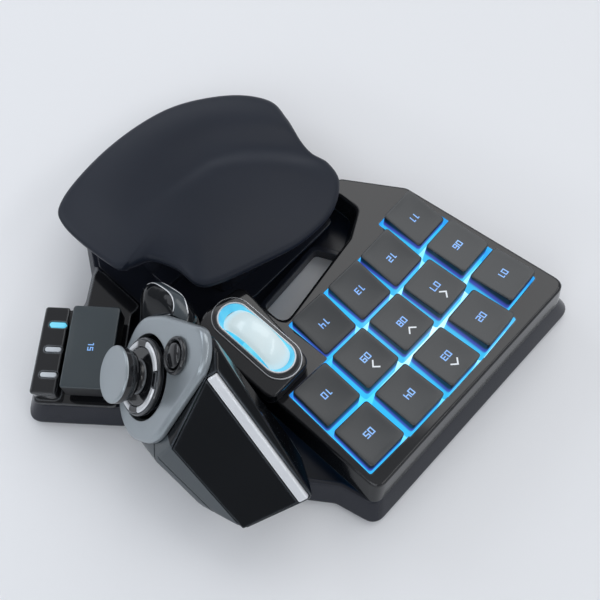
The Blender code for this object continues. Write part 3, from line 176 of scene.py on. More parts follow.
def revolved(profile, steps=64, closed=False):
    return lofted([level(ringPoints(radius, steps), height) for radius, height in profile], closed)


def turnedShape(shape, matrix):
    bmesh.ops.transform(shape, verts=shape.verts, matrix=matrix)
    return shape


def outward(shape):
    bmesh.ops.recalc_face_normals(shape, faces=shape.faces)
    if shape.calc_volume(signed=True) < 0:
        bmesh.ops.reverse_faces(shape, faces=shape.faces)
    return shape


def bisected(shape, point, normal, dist=layout["thinCut"], **extra):
    geometry = shape.verts[:] + shape.edges[:] + shape.faces[:]
    return bmesh.ops.bisect_plane(shape, geom=geometry, dist=dist, plane_co=point, plane_no=normal, **extra)


def hullOf(points):
    shape = bmesh.new()
    for point in points:
        shape.verts.new(point)
    hull = bmesh.ops.convex_hull(shape, input=shape.verts)
    spare = [item for item in hull["geom_interior"] if isinstance(item, bmesh.types.BMVert)]
    bmesh.ops.delete(shape, geom=spare, context="VERTS")
    return shape


def softHull(points, radius):
    # a convex form whose flat sides stay where the points put them, with its edges rounded
    shape, core, ball = outward(hullOf(points)), bmesh.new(), bmesh.new()
    bmesh.ops.create_cube(core, size=1.0)
    for centre, normal in [(face.calc_center_median(), face.normal.copy()) for face in shape.faces]:
        bisected(core, centre - normal * radius, normal, 0.0, clear_outer=True)
        bmesh.ops.holes_fill(core, edges=[edge for edge in core.edges if edge.is_boundary])
    bmesh.ops.create_icosphere(ball, subdivisions=2, radius=radius)
    soft = hullOf([corner.co + way.co for corner in core.verts for way in ball.verts])
    for item in (shape, core, ball):
        item.free()
    return soft


def shrunk(points, distance):
    low = Vector([min(v[axis] for v in points) for axis in range(3)])
    high = Vector([max(v[axis] for v in points) for axis in range(3)])
    middle = (low + high) / 2
    scale = [1 - 2 * distance / (high[axis] - low[axis]) for axis in range(3)]
    return [Vector([middle[axis] + (v[axis] - middle[axis]) * scale[axis] for axis in range(3)]) for v in points]


# meshes and pieces
def smoothed(mesh, sharp):
    mesh.shade_smooth()
    mesh.set_sharp_from_angle(angle=math.radians(sharp))
    return mesh


def meshOf(shape, sharp=35.0):
    mesh = bpy.data.meshes.new("form")
    outward(shape).to_mesh(mesh)
    shape.free()
    return smoothed(mesh, sharp)


def shapeOf(mesh):
    shape = bmesh.new()
    shape.from_mesh(mesh)
    return shape


def linked(name, data):
    item = bpy.data.objects.new(name, data)
    scene.collection.objects.link(item)
    return item


def addModifier(item, name, kind, **settings):
    modifier = item.modifiers.new(name, kind)
    for label, value in settings.items():
        setattr(modifier, label, value)


def cuts(*tools):
    return [("DIFFERENCE", tool) for tool in tools]


def joins(*tools):
    return [("UNION", tool) for tool in tools]


def worked(shape, steps, sharp=35.0, flowing=0.0):
    # cuts and joins with hidden tools, which are gone afterwards; flowing melts the form first
    body = linked("body", meshOf(shape))
    spare = [body]
    if flowing:
        addModifier(body, "evenSkin", "REMESH", mode="VOXEL", voxel_size=flowing)
        addModifier(body, "melted", "SMOOTH", factor=layout["meltFactor"], iterations=layout["meltTurns"])
    for index, (operation, tool) in enumerate(steps):
        spare.append(linked(f"tool{index}", meshOf(tool)))
        addModifier(body, f"tool{index}", "BOOLEAN", operation=operation, solver="EXACT", object=spare[-1])
    bpy.context.view_layer.update()
    result = bpy.data.meshes.new_from_object(body.evaluated_get(bpy.context.evaluated_depsgraph_get()))
    for item in spare:
        bpy.data.objects.remove(item)
    result.materials.clear()
    return smoothed(result, sharp)


def dressed(piece, body, hides):
    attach(piece, body)
    if hides:
        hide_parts(hides)
    return piece


def place(name, mesh, body, finishNames, hides="", matrix=None, weighted=True):
    mesh.name = name
    mesh.transform(Matrix.Translation(shift) @ (matrix or Matrix()))
    for finishName in finishNames.split():
        mesh.materials.append(made[finishName])
    piece = linked(name, mesh)
    if weighted:
        addModifier(piece, "evenNormals", "WEIGHTED_NORMAL", keep_sharp=True, weight=layout["normalWeight"])
    return dressed(piece, body, hides)


print("frame loaded, drawing helpers ready")


# materials
def pick(sockets, label):
    return sockets[int(label) if label.isdigit() else label]


def wired(tree, parts, links, known):
    # parts gives each node's kind, settings and set inputs; a link says "node.output > node.input"
    found = dict(known)
    for name, (kind, settings, values) in parts.items():
        found[name] = tree.nodes.new(f"ShaderNode{kind}")
        for label, value in settings.items():
            setattr(found[name], label, value)
        for label, value in values.items():
            pick(found[name].inputs, label).default_value = value
    for link in links:
        (start, output), (end, goal) = (side.split(".") for side in link.split(" > "))
        tree.links.new(pick(found[start].outputs, output), pick(found[end].inputs, goal))
    return found


def effectGroup(name, inputs, outputs, parts, links):
    group = bpy.data.node_groups.new(name, "ShaderNodeTree")
    for label, value in inputs.items():
        kind = "Float" if isinstance(value, float) else "Color" if len(value) == 4 else "Vector"
        socket = group.interface.new_socket(name=label, in_out="INPUT", socket_type=f"NodeSocket{kind}")
        socket.default_value = value
    for label, kind in outputs.items():
        group.interface.new_socket(name=label, in_out="OUTPUT", socket_type=f"NodeSocket{kind}")
    wired(group, parts, links, {"in": group.nodes.new("NodeGroupInput"), "out": group.nodes.new("NodeGroupOutput")})
    return group


whereNode, colourMix = ("TexCoord", {}, {}), ("Mix", {"data_type": "RGBA"}, {})
centredHalf = ("Math", {"operation": "SUBTRACT"}, {"1": 0.5})
addShare = ("Math", {"operation": "MULTIPLY_ADD"}, {})
softFade = ("MapRange", {"interpolation_type": "SMOOTHSTEP"}, {})

mouldedGrain = effectGroup("mouldedGrain", {
    "Colour": (0.05, 0.05, 0.05, 1.0), "Tint": (0.08, 0.08, 0.09, 1.0), "Patch Scale": 45.0, "Grain Scale": 3500.0,
    "Roughness": 0.4, "Roughness Spread": 0.06,
}, {"Colour": "Color", "Roughness": "Float", "Height": "Float"}, {
    "where": whereNode, "mix": colourMix, "centred": centredHalf, "spread": addShare,
    "patches": ("TexNoise", {}, {"Detail": 4.0}), "grain": ("TexNoise", {}, {"Detail": 2.0}),
}, [
    "where.Object > patches.Vector", "in.Patch Scale > patches.Scale", "patches.Fac > mix.Factor",
    "in.Colour > mix.A", "in.Tint > mix.B", "mix.Result > out.Colour", "patches.Fac > centred.0",
    "centred.0 > spread.0", "in.Roughness Spread > spread.1", "in.Roughness > spread.2", "spread.0 > out.Roughness",
    "where.Object > grain.Vector", "in.Grain Scale > grain.Scale", "grain.Fac > out.Height",
])

# edges turn to the edge colour where a bevelled normal leaves the true one: worn edges on some finishes, a painted
# edge highlight on the gloss blacks, the key tops, the shell and the palm rest
edgeWearAndHighlight = effectGroup("edgeWearAndHighlight", {
    "Colour": (0.05, 0.05, 0.05, 1.0), "Edge Colour": (0.2, 0.2, 0.22, 1.0), "Amount": 0.3, "Width": 0.0006,
}, {"Colour": "Color"}, {
    "where": whereNode, "mix": colourMix, "soft": ("Bevel", {"samples": 4}, {}), "true": ("NewGeometry", {}, {}),
    "dot": ("VectorMath", {"operation": "DOT_PRODUCT"}, {}),
    "span": ("MapRange", {}, {"From Min": 0.985, "From Max": 0.80}), "patches": ("TexNoise", {}, {"Scale": 140.0}),
    "uneven": ("Math", {"operation": "MULTIPLY"}, {}),
    "amount": ("Math", {"operation": "MULTIPLY", "use_clamp": True}, {}),
}, [
    "in.Width > soft.Radius", "soft.Normal > dot.0", "true.Normal > dot.1", "dot.Value > span.Value",
    "where.Object > patches.Vector", "span.Result > uneven.0", "patches.Fac > uneven.1", "uneven.0 > amount.0",
    "in.Amount > amount.1", "amount.0 > mix.Factor", "in.Colour > mix.A", "in.Edge Colour > mix.B",
    "mix.Result > out.Colour",
])

# brightest round one place, then bright, and deep at the ends, with uneven patches
glowPool = effectGroup("glowPool", {
    "Deep": (0.0, 0.05, 0.4, 1.0), "Bright": (0.1, 0.5, 0.9, 1.0), "Core": (0.5, 0.9, 1.0, 1.0), "Patch Scale": 45.0,
    "Patch Share": 0.9, "Middle": (0.0, 0.0, 0.0), "Reach": 0.05,
}, {"Colour": "Color"}, {
    "where": whereNode, "away": ("VectorMath", {"operation": "DISTANCE"}, {}),
    "patches": ("TexNoise", {}, {"Detail": 2.0}),
    "share": ("Math", {"operation": "DIVIDE"}, {}), "near": ("Math", {"operation": "SUBTRACT"}, {"0": 1.0}),
    "centred": centredHalf, "pool": addShare, "low": ("MapRange", {}, {"From Max": 0.5}),
    "high": ("MapRange", {}, {"From Min": 0.5}), "lowMix": colourMix, "highMix": colourMix,
}, [
    "where.Object > away.0", "in.Middle > away.1", "away.Value > share.0", "in.Reach > share.1", "share.0 > near.1",
    "where.Object > patches.Vector", "in.Patch Scale > patches.Scale", "patches.Fac > centred.0",
    "centred.0 > pool.0", "in.Patch Share > pool.1", "near.0 > pool.2", "pool.0 > low.Value", "pool.0 > high.Value",
    "low.Result > lowMix.Factor", "in.Deep > lowMix.A", "in.Bright > lowMix.B", "lowMix.Result > highMix.A",
    "high.Result > highMix.Factor", "in.Core > highMix.B", "highMix.Result > out.Colour",
])

# light that climbs a wall from below: bright at first, then deeper in colour, then gone
glowFall = effectGroup("glowFall", {
    "Core": (0.0, 0.3, 0.8, 1.0), "Glow": (0.0, 0.0, 0.3, 1.0), "Low": 0.6, "Middle": 0.7, "High": 0.9,
}, {"Colour": "Color"}, {
    "where": whereNode, "split": ("SeparateXYZ", {}, {}), "deepFade": softFade, "coreFade": softFade,
    "deepMix": ("Mix", {"data_type": "RGBA"}, {"A": (0.0, 0.0, 0.0, 1.0)}), "coreMix": colourMix,
}, [
    "where.Generated > split.Vector", "split.Z > deepFade.Value", "in.High > deepFade.From Min",
    "in.Middle > deepFade.From Max", "split.Z > coreFade.Value", "in.Middle > coreFade.From Min",
    "in.Low > coreFade.From Max", "deepFade.Result > deepMix.Factor", "in.Glow > deepMix.B",
    "deepMix.Result > coreMix.A", "coreFade.Result > coreMix.Factor", "in.Core > coreMix.B",
    "coreMix.Result > out.Colour",
])


def effect(tree, group, values):
    node = tree.nodes.new("ShaderNodeGroup")
    node.node_tree = group
    for label, value in values.items():
        node.inputs[label].default_value = (*value, 1.0) if isinstance(value, tuple) else value
    return node


def finish(name, look):
    # a moulded surface with its edges in an edge colour (wear on some finishes, a painted edge highlight on others),
    # or with a base colour and emitted light: light that comes through clear or frosted plastic, and painted glow on
    # parts that are no lamps
    material = bpy.data.materials.new(name)
    material.use_nodes = True
    material.diffuse_color = (*look["tint" if "base" in look else "colour"], 1.0)
    tree = material.node_tree
    shader = tree.nodes["Principled BSDF"]
    known = {"shader": shader, "grain": effect(tree, mouldedGrain, {
        "Colour": look["colour"], "Tint": look["tint"], "Patch Scale": look.get("patch", 45.0),
        "Grain Scale": look.get("grain", 3400.0), "Roughness": look["roughness"],
        "Roughness Spread": look.get("spread", 0.10),
    })}
    parts, links = {}, ["grain.Roughness > shader.Roughness"]
    if "bump" in look:
        parts["bump"] = ("Bump", {}, {"Strength": look["bump"], "Distance": look.get("bumpDepth", 0.00005)})
        links += ["grain.Height > bump.Height", "bump.Normal > shader.Normal"]
    if "softEdge" in look:
        parts["corner"] = ("Bevel", {"samples": 6}, {"Radius": look["softEdge"]})
        links.append("corner.Normal > bump.Normal")
    if "edge" in look:
        known["wear"] = effect(tree, edgeWearAndHighlight, {"Edge Colour": look["edge"], "Amount": look["wear"],
                                                "Width": look.get("edgeWidth", 0.0005)})
        links += ["grain.Colour > wear.Colour", "wear.Colour > shader.Base Color"]
    elif "base" in look:
        shader.inputs["Base Color"].default_value = (*look["base"], 1.0)
    else:
        links.append("grain.Colour > shader.Base Color")
    if "fall" in look:
        known["glow"] = effect(tree, glowFall, look["fall"])
    if "pool" in look:
        middle, reach = look["pool"]
        known["glow"] = effect(tree, glowPool, {"Deep": look["colour"], "Bright": look["tint"], "Core": look["core"],
                                                "Patch Scale": look["patch"], "Reach": reach})
        known["glow"].inputs["Middle"].default_value = shift + Vector(middle)
    if "strength" in look:
        links.append(("glow" if "glow" in known else "grain") + ".Colour > shader.Emission Color")
        shader.inputs["Emission Strength"].default_value = look["strength"]
    for label, value in look.get("sockets", {}).items():
        shader.inputs[label].default_value = value
    wired(tree, parts, links, known)
    return material


dimSheen = {"Specular IOR Level": 0.22}
# the key sides in a much darker copy of the key plastic: painted shade
keySides = {"roughness": 0.42, "bump": 0.18, "edge": (0.06, 0.065, 0.07), "wear": 0.40, "sockets": dimSheen}
finishes = {
    # its light edge colour paints a thin highlight along every edge of the gloss black
    "pianoBlack": {
        "colour": (0.0065, 0.0068, 0.0080), "tint": (0.0100, 0.0105, 0.0125), "roughness": 0.085, "spread": 0.05,
        "grain": 700.0, "bump": 0.05, "bumpDepth": 0.00002, "edge": (0.46, 0.50, 0.55), "wear": 0.62,
        "edgeWidth": 0.0010, "softEdge": 0.0005, "sockets": {"Coat Weight": 0.10, "Coat Roughness": 0.03},
    },
    # a darker, less shiny copy of the gloss black: painted shade on the pod, the neck and the panel's outer walls;
    # its light edge colour is a painted edge highlight
    "podBlack": {
        "colour": (0.0042, 0.0050, 0.0062), "tint": (0.0070, 0.0082, 0.0100), "roughness": 0.11, "spread": 0.05,
        "grain": 700.0, "bump": 0.05, "bumpDepth": 0.00002, "edge": (0.26, 0.30, 0.35), "wear": 0.55,
        "edgeWidth": 0.0013, "softEdge": 0.0005, "sockets": {"Specular IOR Level": 0.19},
    },
    # its blue-violet edge colour paints a rim highlight along the shell's edges
    "shellSatin": {
        "colour": (0.0085, 0.0100, 0.0160), "tint": (0.0150, 0.0180, 0.0280), "roughness": 0.24, "grain": 2600.0,
        "bump": 0.10, "edge": (0.06, 0.07, 0.14), "wear": 0.35, "softEdge": 0.0007,
        "sockets": {"Specular IOR Level": 0.34},
    },
    # its light edge colour paints a highlight along the edges of the key tops
    "keyPlastic": {
        "colour": (0.0225, 0.0255, 0.0280), "tint": (0.0320, 0.0365, 0.0400), "roughness": 0.38, "bump": 0.20,
        "edge": (0.22, 0.23, 0.25), "wear": 0.60, "edgeWidth": 0.0011, "softEdge": 0.0003,
        "sockets": {"Coat Weight": 0.25, "Coat Roughness": 0.22},
    },
    "keySides": {**keySides, "colour": (0.0045, 0.0052, 0.0064), "tint": (0.0080, 0.0090, 0.0108)},
    # the finger keys' sides with a painted glow from the lit well below them, over the painted shade
    "litSides": {
        **keySides, "colour": (0.0045, 0.0060, 0.0110), "tint": (0.0080, 0.0105, 0.0180), "strength": 1.0,
        "fall": {"Core": (0.04, 0.48, 0.86), "Glow": (0.045, 0.045, 0.38), "Low": 0.54, "Middle": 0.68, "High": 0.83},
    },
    "thumbKeyPlastic": {
        "colour": (0.020, 0.030, 0.036), "tint": (0.030, 0.044, 0.052), "roughness": 0.34, "bump": 0.22,
        "edge": (0.09, 0.11, 0.12), "wear": 0.40, "softEdge": 0.0003,
        "sockets": {"Coat Weight": 0.25, "Coat Roughness": 0.22},
    },
    # its lighter blue edge colour paints a rim highlight along the palm rest's edges
    "softTouch": {
        "colour": (0.0066, 0.0096, 0.0170), "tint": (0.0116, 0.0156, 0.0262), "roughness": 0.44, "spread": 0.14,
        "patch": 30.0, "grain": 5200.0, "bump": 0.30, "bumpDepth": 0.00004, "edge": (0.07, 0.075, 0.11), "wear": 0.20,
        "sockets": {**dimSheen, "Sheen Weight": 0.05, "Sheen Roughness": 0.45, "Sheen Tint": (0.75, 0.80, 1.0, 1.0)},
    },
    "shoulderSatin": {
        "colour": (0.030, 0.042, 0.050), "tint": (0.042, 0.056, 0.066), "roughness": 0.30, "spread": 0.08,
        "grain": 3000.0, "bump": 0.10, "bumpDepth": 0.00002, "edge": (0.12, 0.14, 0.16), "wear": 0.30,
        "softEdge": 0.0004, "sockets": {"Coat Weight": 0.35, "Coat Roughness": 0.18},
    },
    "satinSilver": {
        "colour": (0.28, 0.315, 0.34), "tint": (0.35, 0.39, 0.415), "roughness": 0.30, "spread": 0.08,
        "grain": 6000.0, "bump": 0.12, "bumpDepth": 0.00002, "edge": (0.55, 0.58, 0.60), "wear": 0.35,
        "softEdge": 0.0006, "sockets": {"Metallic": 0.55, "Coat Weight": 0.3, "Coat Roughness": 0.15},
    },
    "lampClear": {
        "colour": (0.46, 0.50, 0.54), "tint": (0.62, 0.66, 0.70), "roughness": 0.22, "spread": 0.08, "patch": 200.0,
        "grain": 1600.0, "bump": 0.06, "bumpDepth": 0.00002, "edge": (0.80, 0.82, 0.84), "wear": 0.25,
        "softEdge": 0.0002, "sockets": {"Coat Weight": 0.4, "Coat Roughness": 0.05},
    },
    "silverPaint": {
        "colour": (0.70, 0.72, 0.75), "tint": (0.80, 0.82, 0.85), "roughness": 0.22, "spread": 0.08,
        "grain": 5000.0, "bump": 0.06, "bumpDepth": 0.00002, "edge": (0.85, 0.86, 0.88), "wear": 0.25,
        "softEdge": 0.0003, "sockets": {"Metallic": 0.15, "Coat Weight": 0.4, "Coat Roughness": 0.08},
    },
    "plainSteel": {
        "colour": (0.42, 0.43, 0.45), "tint": (0.52, 0.53, 0.55), "roughness": 0.30, "spread": 0.18,
        "grain": 2200.0, "bump": 0.18, "bumpDepth": 0.00002, "edge": (0.7, 0.7, 0.72), "wear": 0.20,
        "softEdge": 0.0002, "sockets": {"Metallic": 1.0},
    },
    "blackRubber": {
        "colour": (0.012, 0.012, 0.013), "tint": (0.022, 0.022, 0.023), "roughness": 0.72, "spread": 0.12,
        "grain": 1800.0, "bump": 0.35, "edge": (0.05, 0.05, 0.05), "wear": 0.30,
    },
    "boardLaminate": {
        "colour": (0.010, 0.085, 0.045), "tint": (0.020, 0.12, 0.06), "roughness": 0.42, "grain": 1200.0,
        "bump": 0.10, "edge": (0.3, 0.28, 0.12), "wear": 0.30,
    },
}
wellPool, wheelPool = ((-0.0098, 0.0100, 0.011), 0.075), ((0.0413, -0.0325, 0.030), 0.034)
lights = {
    "keyGlow": {"colour": (0.006, 0.07, 0.52), "tint": (0.06, 0.52, 0.92), "core": (0.62, 0.93, 1.0),
                "pool": wellPool, "patch": 60.0, "roughness": 0.35, "strength": 1.5, "base": (0.03, 0.06, 0.10)},
    # painted glow on the top shell's inner well wall, which is no lamp but lit by the well
    "wellGlow": {"colour": (0.004, 0.05, 0.42), "tint": (0.03, 0.36, 0.85), "core": (0.20, 0.72, 0.98),
                 "pool": wellPool, "patch": 60.0, "roughness": 0.35, "strength": 1.15, "base": (0.02, 0.035, 0.05)},
    "wheelGlow": {"colour": (0.62, 0.90, 1.0), "tint": (0.93, 1.0, 1.0), "patch": 60.0, "roughness": 0.30,
                  "strength": 0.62, "base": (0.22, 0.24, 0.25)},
    "wheelHalo": {"colour": (0.01, 0.10, 0.58), "tint": (0.06, 0.58, 0.90), "core": (0.30, 0.86, 0.96),
                  "pool": wheelPool, "patch": 150.0, "roughness": 0.25, "strength": 0.88, "base": (0.04, 0.08, 0.11)},
    "numberGlow": {"colour": (0.10, 0.32, 0.95), "tint": (0.30, 0.60, 1.0), "patch": 200.0, "roughness": 0.4,
                   "strength": 0.85, "base": (0.07, 0.10, 0.15)},
    # white arrow print with a slight painted glow
    "arrowPrintAndGlow": {"colour": (0.80, 0.86, 0.92), "tint": (0.92, 0.96, 1.0), "patch": 200.0, "roughness": 0.4,
                   "strength": 0.35, "base": (0.50, 0.53, 0.56)},
    "lampOn": {"colour": (0.05, 0.55, 0.90), "tint": (0.25, 0.85, 1.0), "patch": 120.0, "roughness": 0.3,
               "strength": 0.85, "base": (0.08, 0.14, 0.18)},
}
litLook = {"grain": 2400.0, "spread": 0.08, "bump": 0.1, "bumpDepth": 0.00004, "sockets": {"Coat Weight": 0.4}}
made = {name: finish(name, look) for name, look in finishes.items()}
made.update({name: finish(name, {**litLook, **look}) for name, look in lights.items()})
print("finishes mixed:", len(made))


# the plan outlines of the model, round the layout point
plan = {
    "panelLeft": 0.0570, "panelRight": 0.0540, "panelFar": 0.0380, "panelNear": 0.0400,
    "farHeight": 0.0250, "nearHeight": 0.0205, "armReach": 0.0670, "armLeft": 0.0370,
    "windowLeft": 0.0140, "windowRight": 0.0260, "windowFar": 0.0385, "windowNear": 0.0490,
    "windowSkew": 0.0050, "windowCorner": 0.0025, "deckNear": 0.0535,
    "tailLeft": 0.0380, "tailRight": 0.0500, "tailEnd": 0.1310, "tailHeight": 0.0070,
    "podRight": 0.0860, "podFar": 0.0040, "wingAt": (0.0830, -0.0755), "wingTurn": 39.8,
    "wingHalf": 0.0185, "wingInner": 0.0098, "wingOuter": 0.0212,
    "columnTurns": (2.0, 1.8, -0.8, -1.8, -3.2), "rowSizes": (5, 5, 4),
    "stagger": (-0.18, 0.05, 0.05, 0.02, -0.04), "pitch": (0.0195, 0.0203), "wellMargin": 0.0008,
    "keyWidth": 0.0157, "keyDepth": 0.0173, "keyDraft": 0.0004,
    "wheelAt": (0.0413, -0.0325), "wheelRadius": 0.0160, "wheelWidth": 0.0098,
    "floorTop": 0.0028, "footHeight": 0.0012, "wallThickness": 0.0020,
    "screwBore": 0.0012, "screwTop": 0.0043, "screwBoss": 0.0020,
}
axleHeight = nodeMiddle("wheel_axle").z
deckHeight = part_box("wheel_deck")[1].z


def panelHeight(y):
    fall = (plan["farHeight"] - plan["nearHeight"]) / (plan["panelFar"] + plan["panelNear"])
    return plan["farHeight"] - fall * (plan["panelFar"] - y)


def keySpot(column, row):
    turn = math.radians(plan["columnTurns"][column])
    rise = (1 - row) * plan["pitch"][1]
    return ((column - 2) * plan["pitch"][0] - rise * math.sin(turn),
            plan["stagger"][column] * plan["pitch"][1] + rise * math.cos(turn))


def keyCorner(column, row, side, end):
    halfX = plan["keyWidth"] / 2 + plan["keyDraft"] + plan["wellMargin"]
    halfY = plan["keyDepth"] / 2 + plan["keyDraft"] + plan["wellMargin"]
    return turnedPoints([(side * halfX, end * halfY)], plan["columnTurns"][column], keySpot(column, row))[0]


def tidySteps(corners):
    points = [corners[0]]
    for index in range(1, len(corners) - 1, 2):
        middle = (corners[index][0] + corners[index + 1][0]) / 2
        points += [(middle, corners[index][1]), (middle, corners[index + 1][1])]
    return points + [corners[-1]]


def wellOutline():
    far = [keyCorner(column, 0, side, 1) for column in (4, 3, 2, 1, 0) for side in (1, -1)]
    near = [keyCorner(column, 2, side, -1) for column in (0, 1, 2, 3) for side in (-1, 1)]
    return (tidySteps(far) + tidySteps(near)
            + [(near[-1][0], keyCorner(4, 1, -1, -1)[1]), keyCorner(4, 1, 1, -1)])


def windowOutline(grown=0.0):
    left, right, skew = plan["windowLeft"], plan["windowRight"], plan["windowSkew"]
    far, near = plan["windowFar"], plan["windowNear"]
    corners = [(-left, -far), (-left + skew, -near), (right - skew / 2, -near + skew / 2), (right, -far + skew)]
    return rounded(inset(corners, -grown), plan["windowCorner"] + grown)


def spotFrame(spot, degrees):
    return Matrix.Translation((*spot, 0.0)) @ Matrix.Rotation(math.radians(degrees), 4, "Z")


leftEdge = scaled([(-1.0, 1.0), (-0.90, -0.97)], plan["panelLeft"], plan["panelFar"])
farRightCorner = (plan["panelRight"], plan["panelFar"] * 0.95)
wingWhere = spotFrame(plan["wingAt"], plan["wingTurn"])


def panelCorners():
    return [
        *leftEdge,
        *scaled([(-1.0, -0.90), (-0.76, -1.0), (-0.62, -0.93), (-0.72, -0.80), (-0.72, -0.68)],
                plan["armLeft"], plan["armReach"]),
        *scaled([(-1.10, -1.03), (-0.50, -1.0)], plan["windowLeft"], plan["windowFar"]),
        (plan["windowRight"], -plan["windowFar"] + plan["windowSkew"]),
        (plan["windowRight"], -plan["windowNear"]),
        *scaled([(0.54, -0.96), (0.85, -1.04), (1.0, -0.98)], plan["panelRight"], plan["deckNear"]),
        farRightCorner,
    ]


def baseCorners():
    half, outer, inner = plan["wingHalf"], plan["wingOuter"], plan["wingInner"]
    return [
        *leftEdge,
        (-plan["armLeft"], -0.90 * plan["armReach"]),
        *scaled([(-0.78, -0.57), (-1.0, -0.74), (-0.80, -0.91), (-0.30, -1.0)], plan["tailLeft"], plan["tailEnd"]),
        *scaled([(0.50, -1.0), (0.94, -0.93), (1.14, -0.81)], plan["tailRight"], plan["tailEnd"]),
        (plan["wingAt"][0] - 0.55 * half, plan["wingAt"][1] - half),
        *turnedPoints([(-half, -outer), (half, -outer), (half, inner)], plan["wingTurn"], plan["wingAt"]),
        *scaled([(1.0, -12.8), (1.0, -4.0), (0.90, 1.0), (0.755, 3.0)], plan["podRight"], plan["podFar"]),
        (plan["panelRight"] * 1.06, plan["panelFar"] * 0.60),
        farRightCorner,
    ]


def spotOf(nodeName):
    middle = nodeMiddle(nodeName) - shift
    return (middle.x, middle.y)


screwSpots = [spotOf(f"case_screw_{index}") for index in range(1, 5)]
footSpots = [spotOf(name) for name in sorted(nodes) if name.startswith("rubber_foot")]


# base shell
baseLook = {
    "flare": 0.0040, "lip": 0.0012, "corner": 0.0060, "cornerSteps": 8, "edge": 0.0005, "sink": 0.0008,
    "screwHead": 0.0019, "headTop": 0.0024, "footRecess": 0.0063, "footInset": 0.0006,
    "standoff": 0.0025, "standoffs": ((-1.5, 0.9), (1.5, 0.9), (-1.5, -0.9), (0.9, -0.9)), "domePost": 0.0076,
    "tailRight": 0.0570, "tailStart": 0.0040, "stepLeft": 0.0308, "wheelPost": 0.0012, "wheelPostAside": 0.0093,
    "wheelPostTop": 0.0101, "wheelPocket": 0.00225, "glandHole": 0.0032, "glandReach": 0.02, "reach": 0.30,
}


def makeBaseShell():
    look, seam, low, wall = baseLook, baseCorners(), plan["footHeight"], plan["wallThickness"]
    flare, lip, edge, reach = look["flare"], look["lip"], look["edge"], look["reach"]

    def ring(distance, height):
        return level(rounded(inset(seam, distance), look["corner"], look["cornerSteps"]), height)
    rings = [ring(lip - flare, low)]
    for step in range(1, 5):
        angle = math.pi / 2 * step / 4
        rings.append(ring(lip - flare - lip * math.sin(angle), low + lip * (1 - math.cos(angle))))
    rings += [ring(-flare * 0.96, low + lip * 1.6), ring(-edge / 4, seamHeight - edge), ring(edge, seamHeight),
              ring(wall, seamHeight), ring(wall + lip - flare, plan["floorTop"])]
    inside, tail = low + look["sink"], plan["tailHeight"]
    tailArea = rect(-reach, look["tailRight"] + gap, -reach, -plan["armReach"] + look["tailStart"])
    stepArea = rect(-look["stepLeft"], plan["windowRight"] + wall, -plan["armReach"], -plan["windowNear"] - wall)
    wheelX, wheelY = plan["wheelAt"]
    wheelPosts = [(wheelX + side * look["wheelPostAside"], wheelY - plan["wheelRadius"] / 2) for side in (-1, 1)]
    tools = cuts(prism(tailArea, tail, reach), prism(stepArea, tail, reach))
    standoffs = scaled(look["standoffs"], *plan["pitch"])
    tools += joins(
        prism(windowOutline(wall), inside, tail),
        *rods(screwSpots, plan["screwBoss"], 24, inside, seamHeight - gap),
        *rods(standoffs, look["standoff"], 24, inside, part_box("main_board")[0].z - gap),
        *rods([plan["wingAt"]], look["domePost"], 32, inside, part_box("thumb_key_dome")[0].z - gap),
        *rods(wheelPosts, look["wheelPost"], 20, inside, look["wheelPostTop"]))
    tools += cuts(prism(windowOutline(), -reach, reach))
    for spot in screwSpots:
        tools += cuts(*rods([spot], plan["screwBore"], 20, -reach, seamHeight + reach),
                      *rods([spot], look["screwHead"], 24, -reach, look["headTop"]))
    glandWhere = Matrix.Translation(nodeMiddle("cable_gland") - shift) @ Matrix.Rotation(math.pi / 2, 4, "Y")
    glandLine = [(look["glandHole"], end * look["glandReach"]) for end in (-1, 1)]
    tools += cuts(
        *rods(footSpots, look["footRecess"], 40, -reach, low + look["footInset"]),
        prism(oblong(plan["wheelRadius"], plan["wheelWidth"], plan["wheelAt"]), look["wheelPocket"], seamHeight),
        turnedShape(revolved(glandLine, 32), glandWhere))
    return worked(lofted(rings), tools)


place("baseShellFine", makeBaseShell(), "base", "shellSatin", "base_shell")
print("base shell moulded")


# top shell with the lit well
panelLook = {
    "corner": 0.0045, "draft": 0.0020, "draftShy": 0.0002, "edge": 0.0014, "cornerSteps": 8, "litBand": 0.0004,
    "wellWall": 0.0012, "wellStep": 0.0024, "wellCorner": 0.0009, "under": -0.004, "hollowDrop": 0.008,
    "wheelAside": 0.0030, "wheelAhead": 0.0010, "screwRecess": 0.0023, "steep": 0.5,
}


def fromOutline(spot, outline):
    flat = Vector((spot.x, spot.y))
    distances = []
    for one, two in zip(outline, outline[1:] + outline[:1]):
        start, along = Vector(one), Vector(two) - Vector(one)
        share = max(0.0, min(1.0, (flat - start).dot(along) / max(along.length_squared, 1e-12)))
        distances.append((start + along * share - flat).length)
    return min(distances)


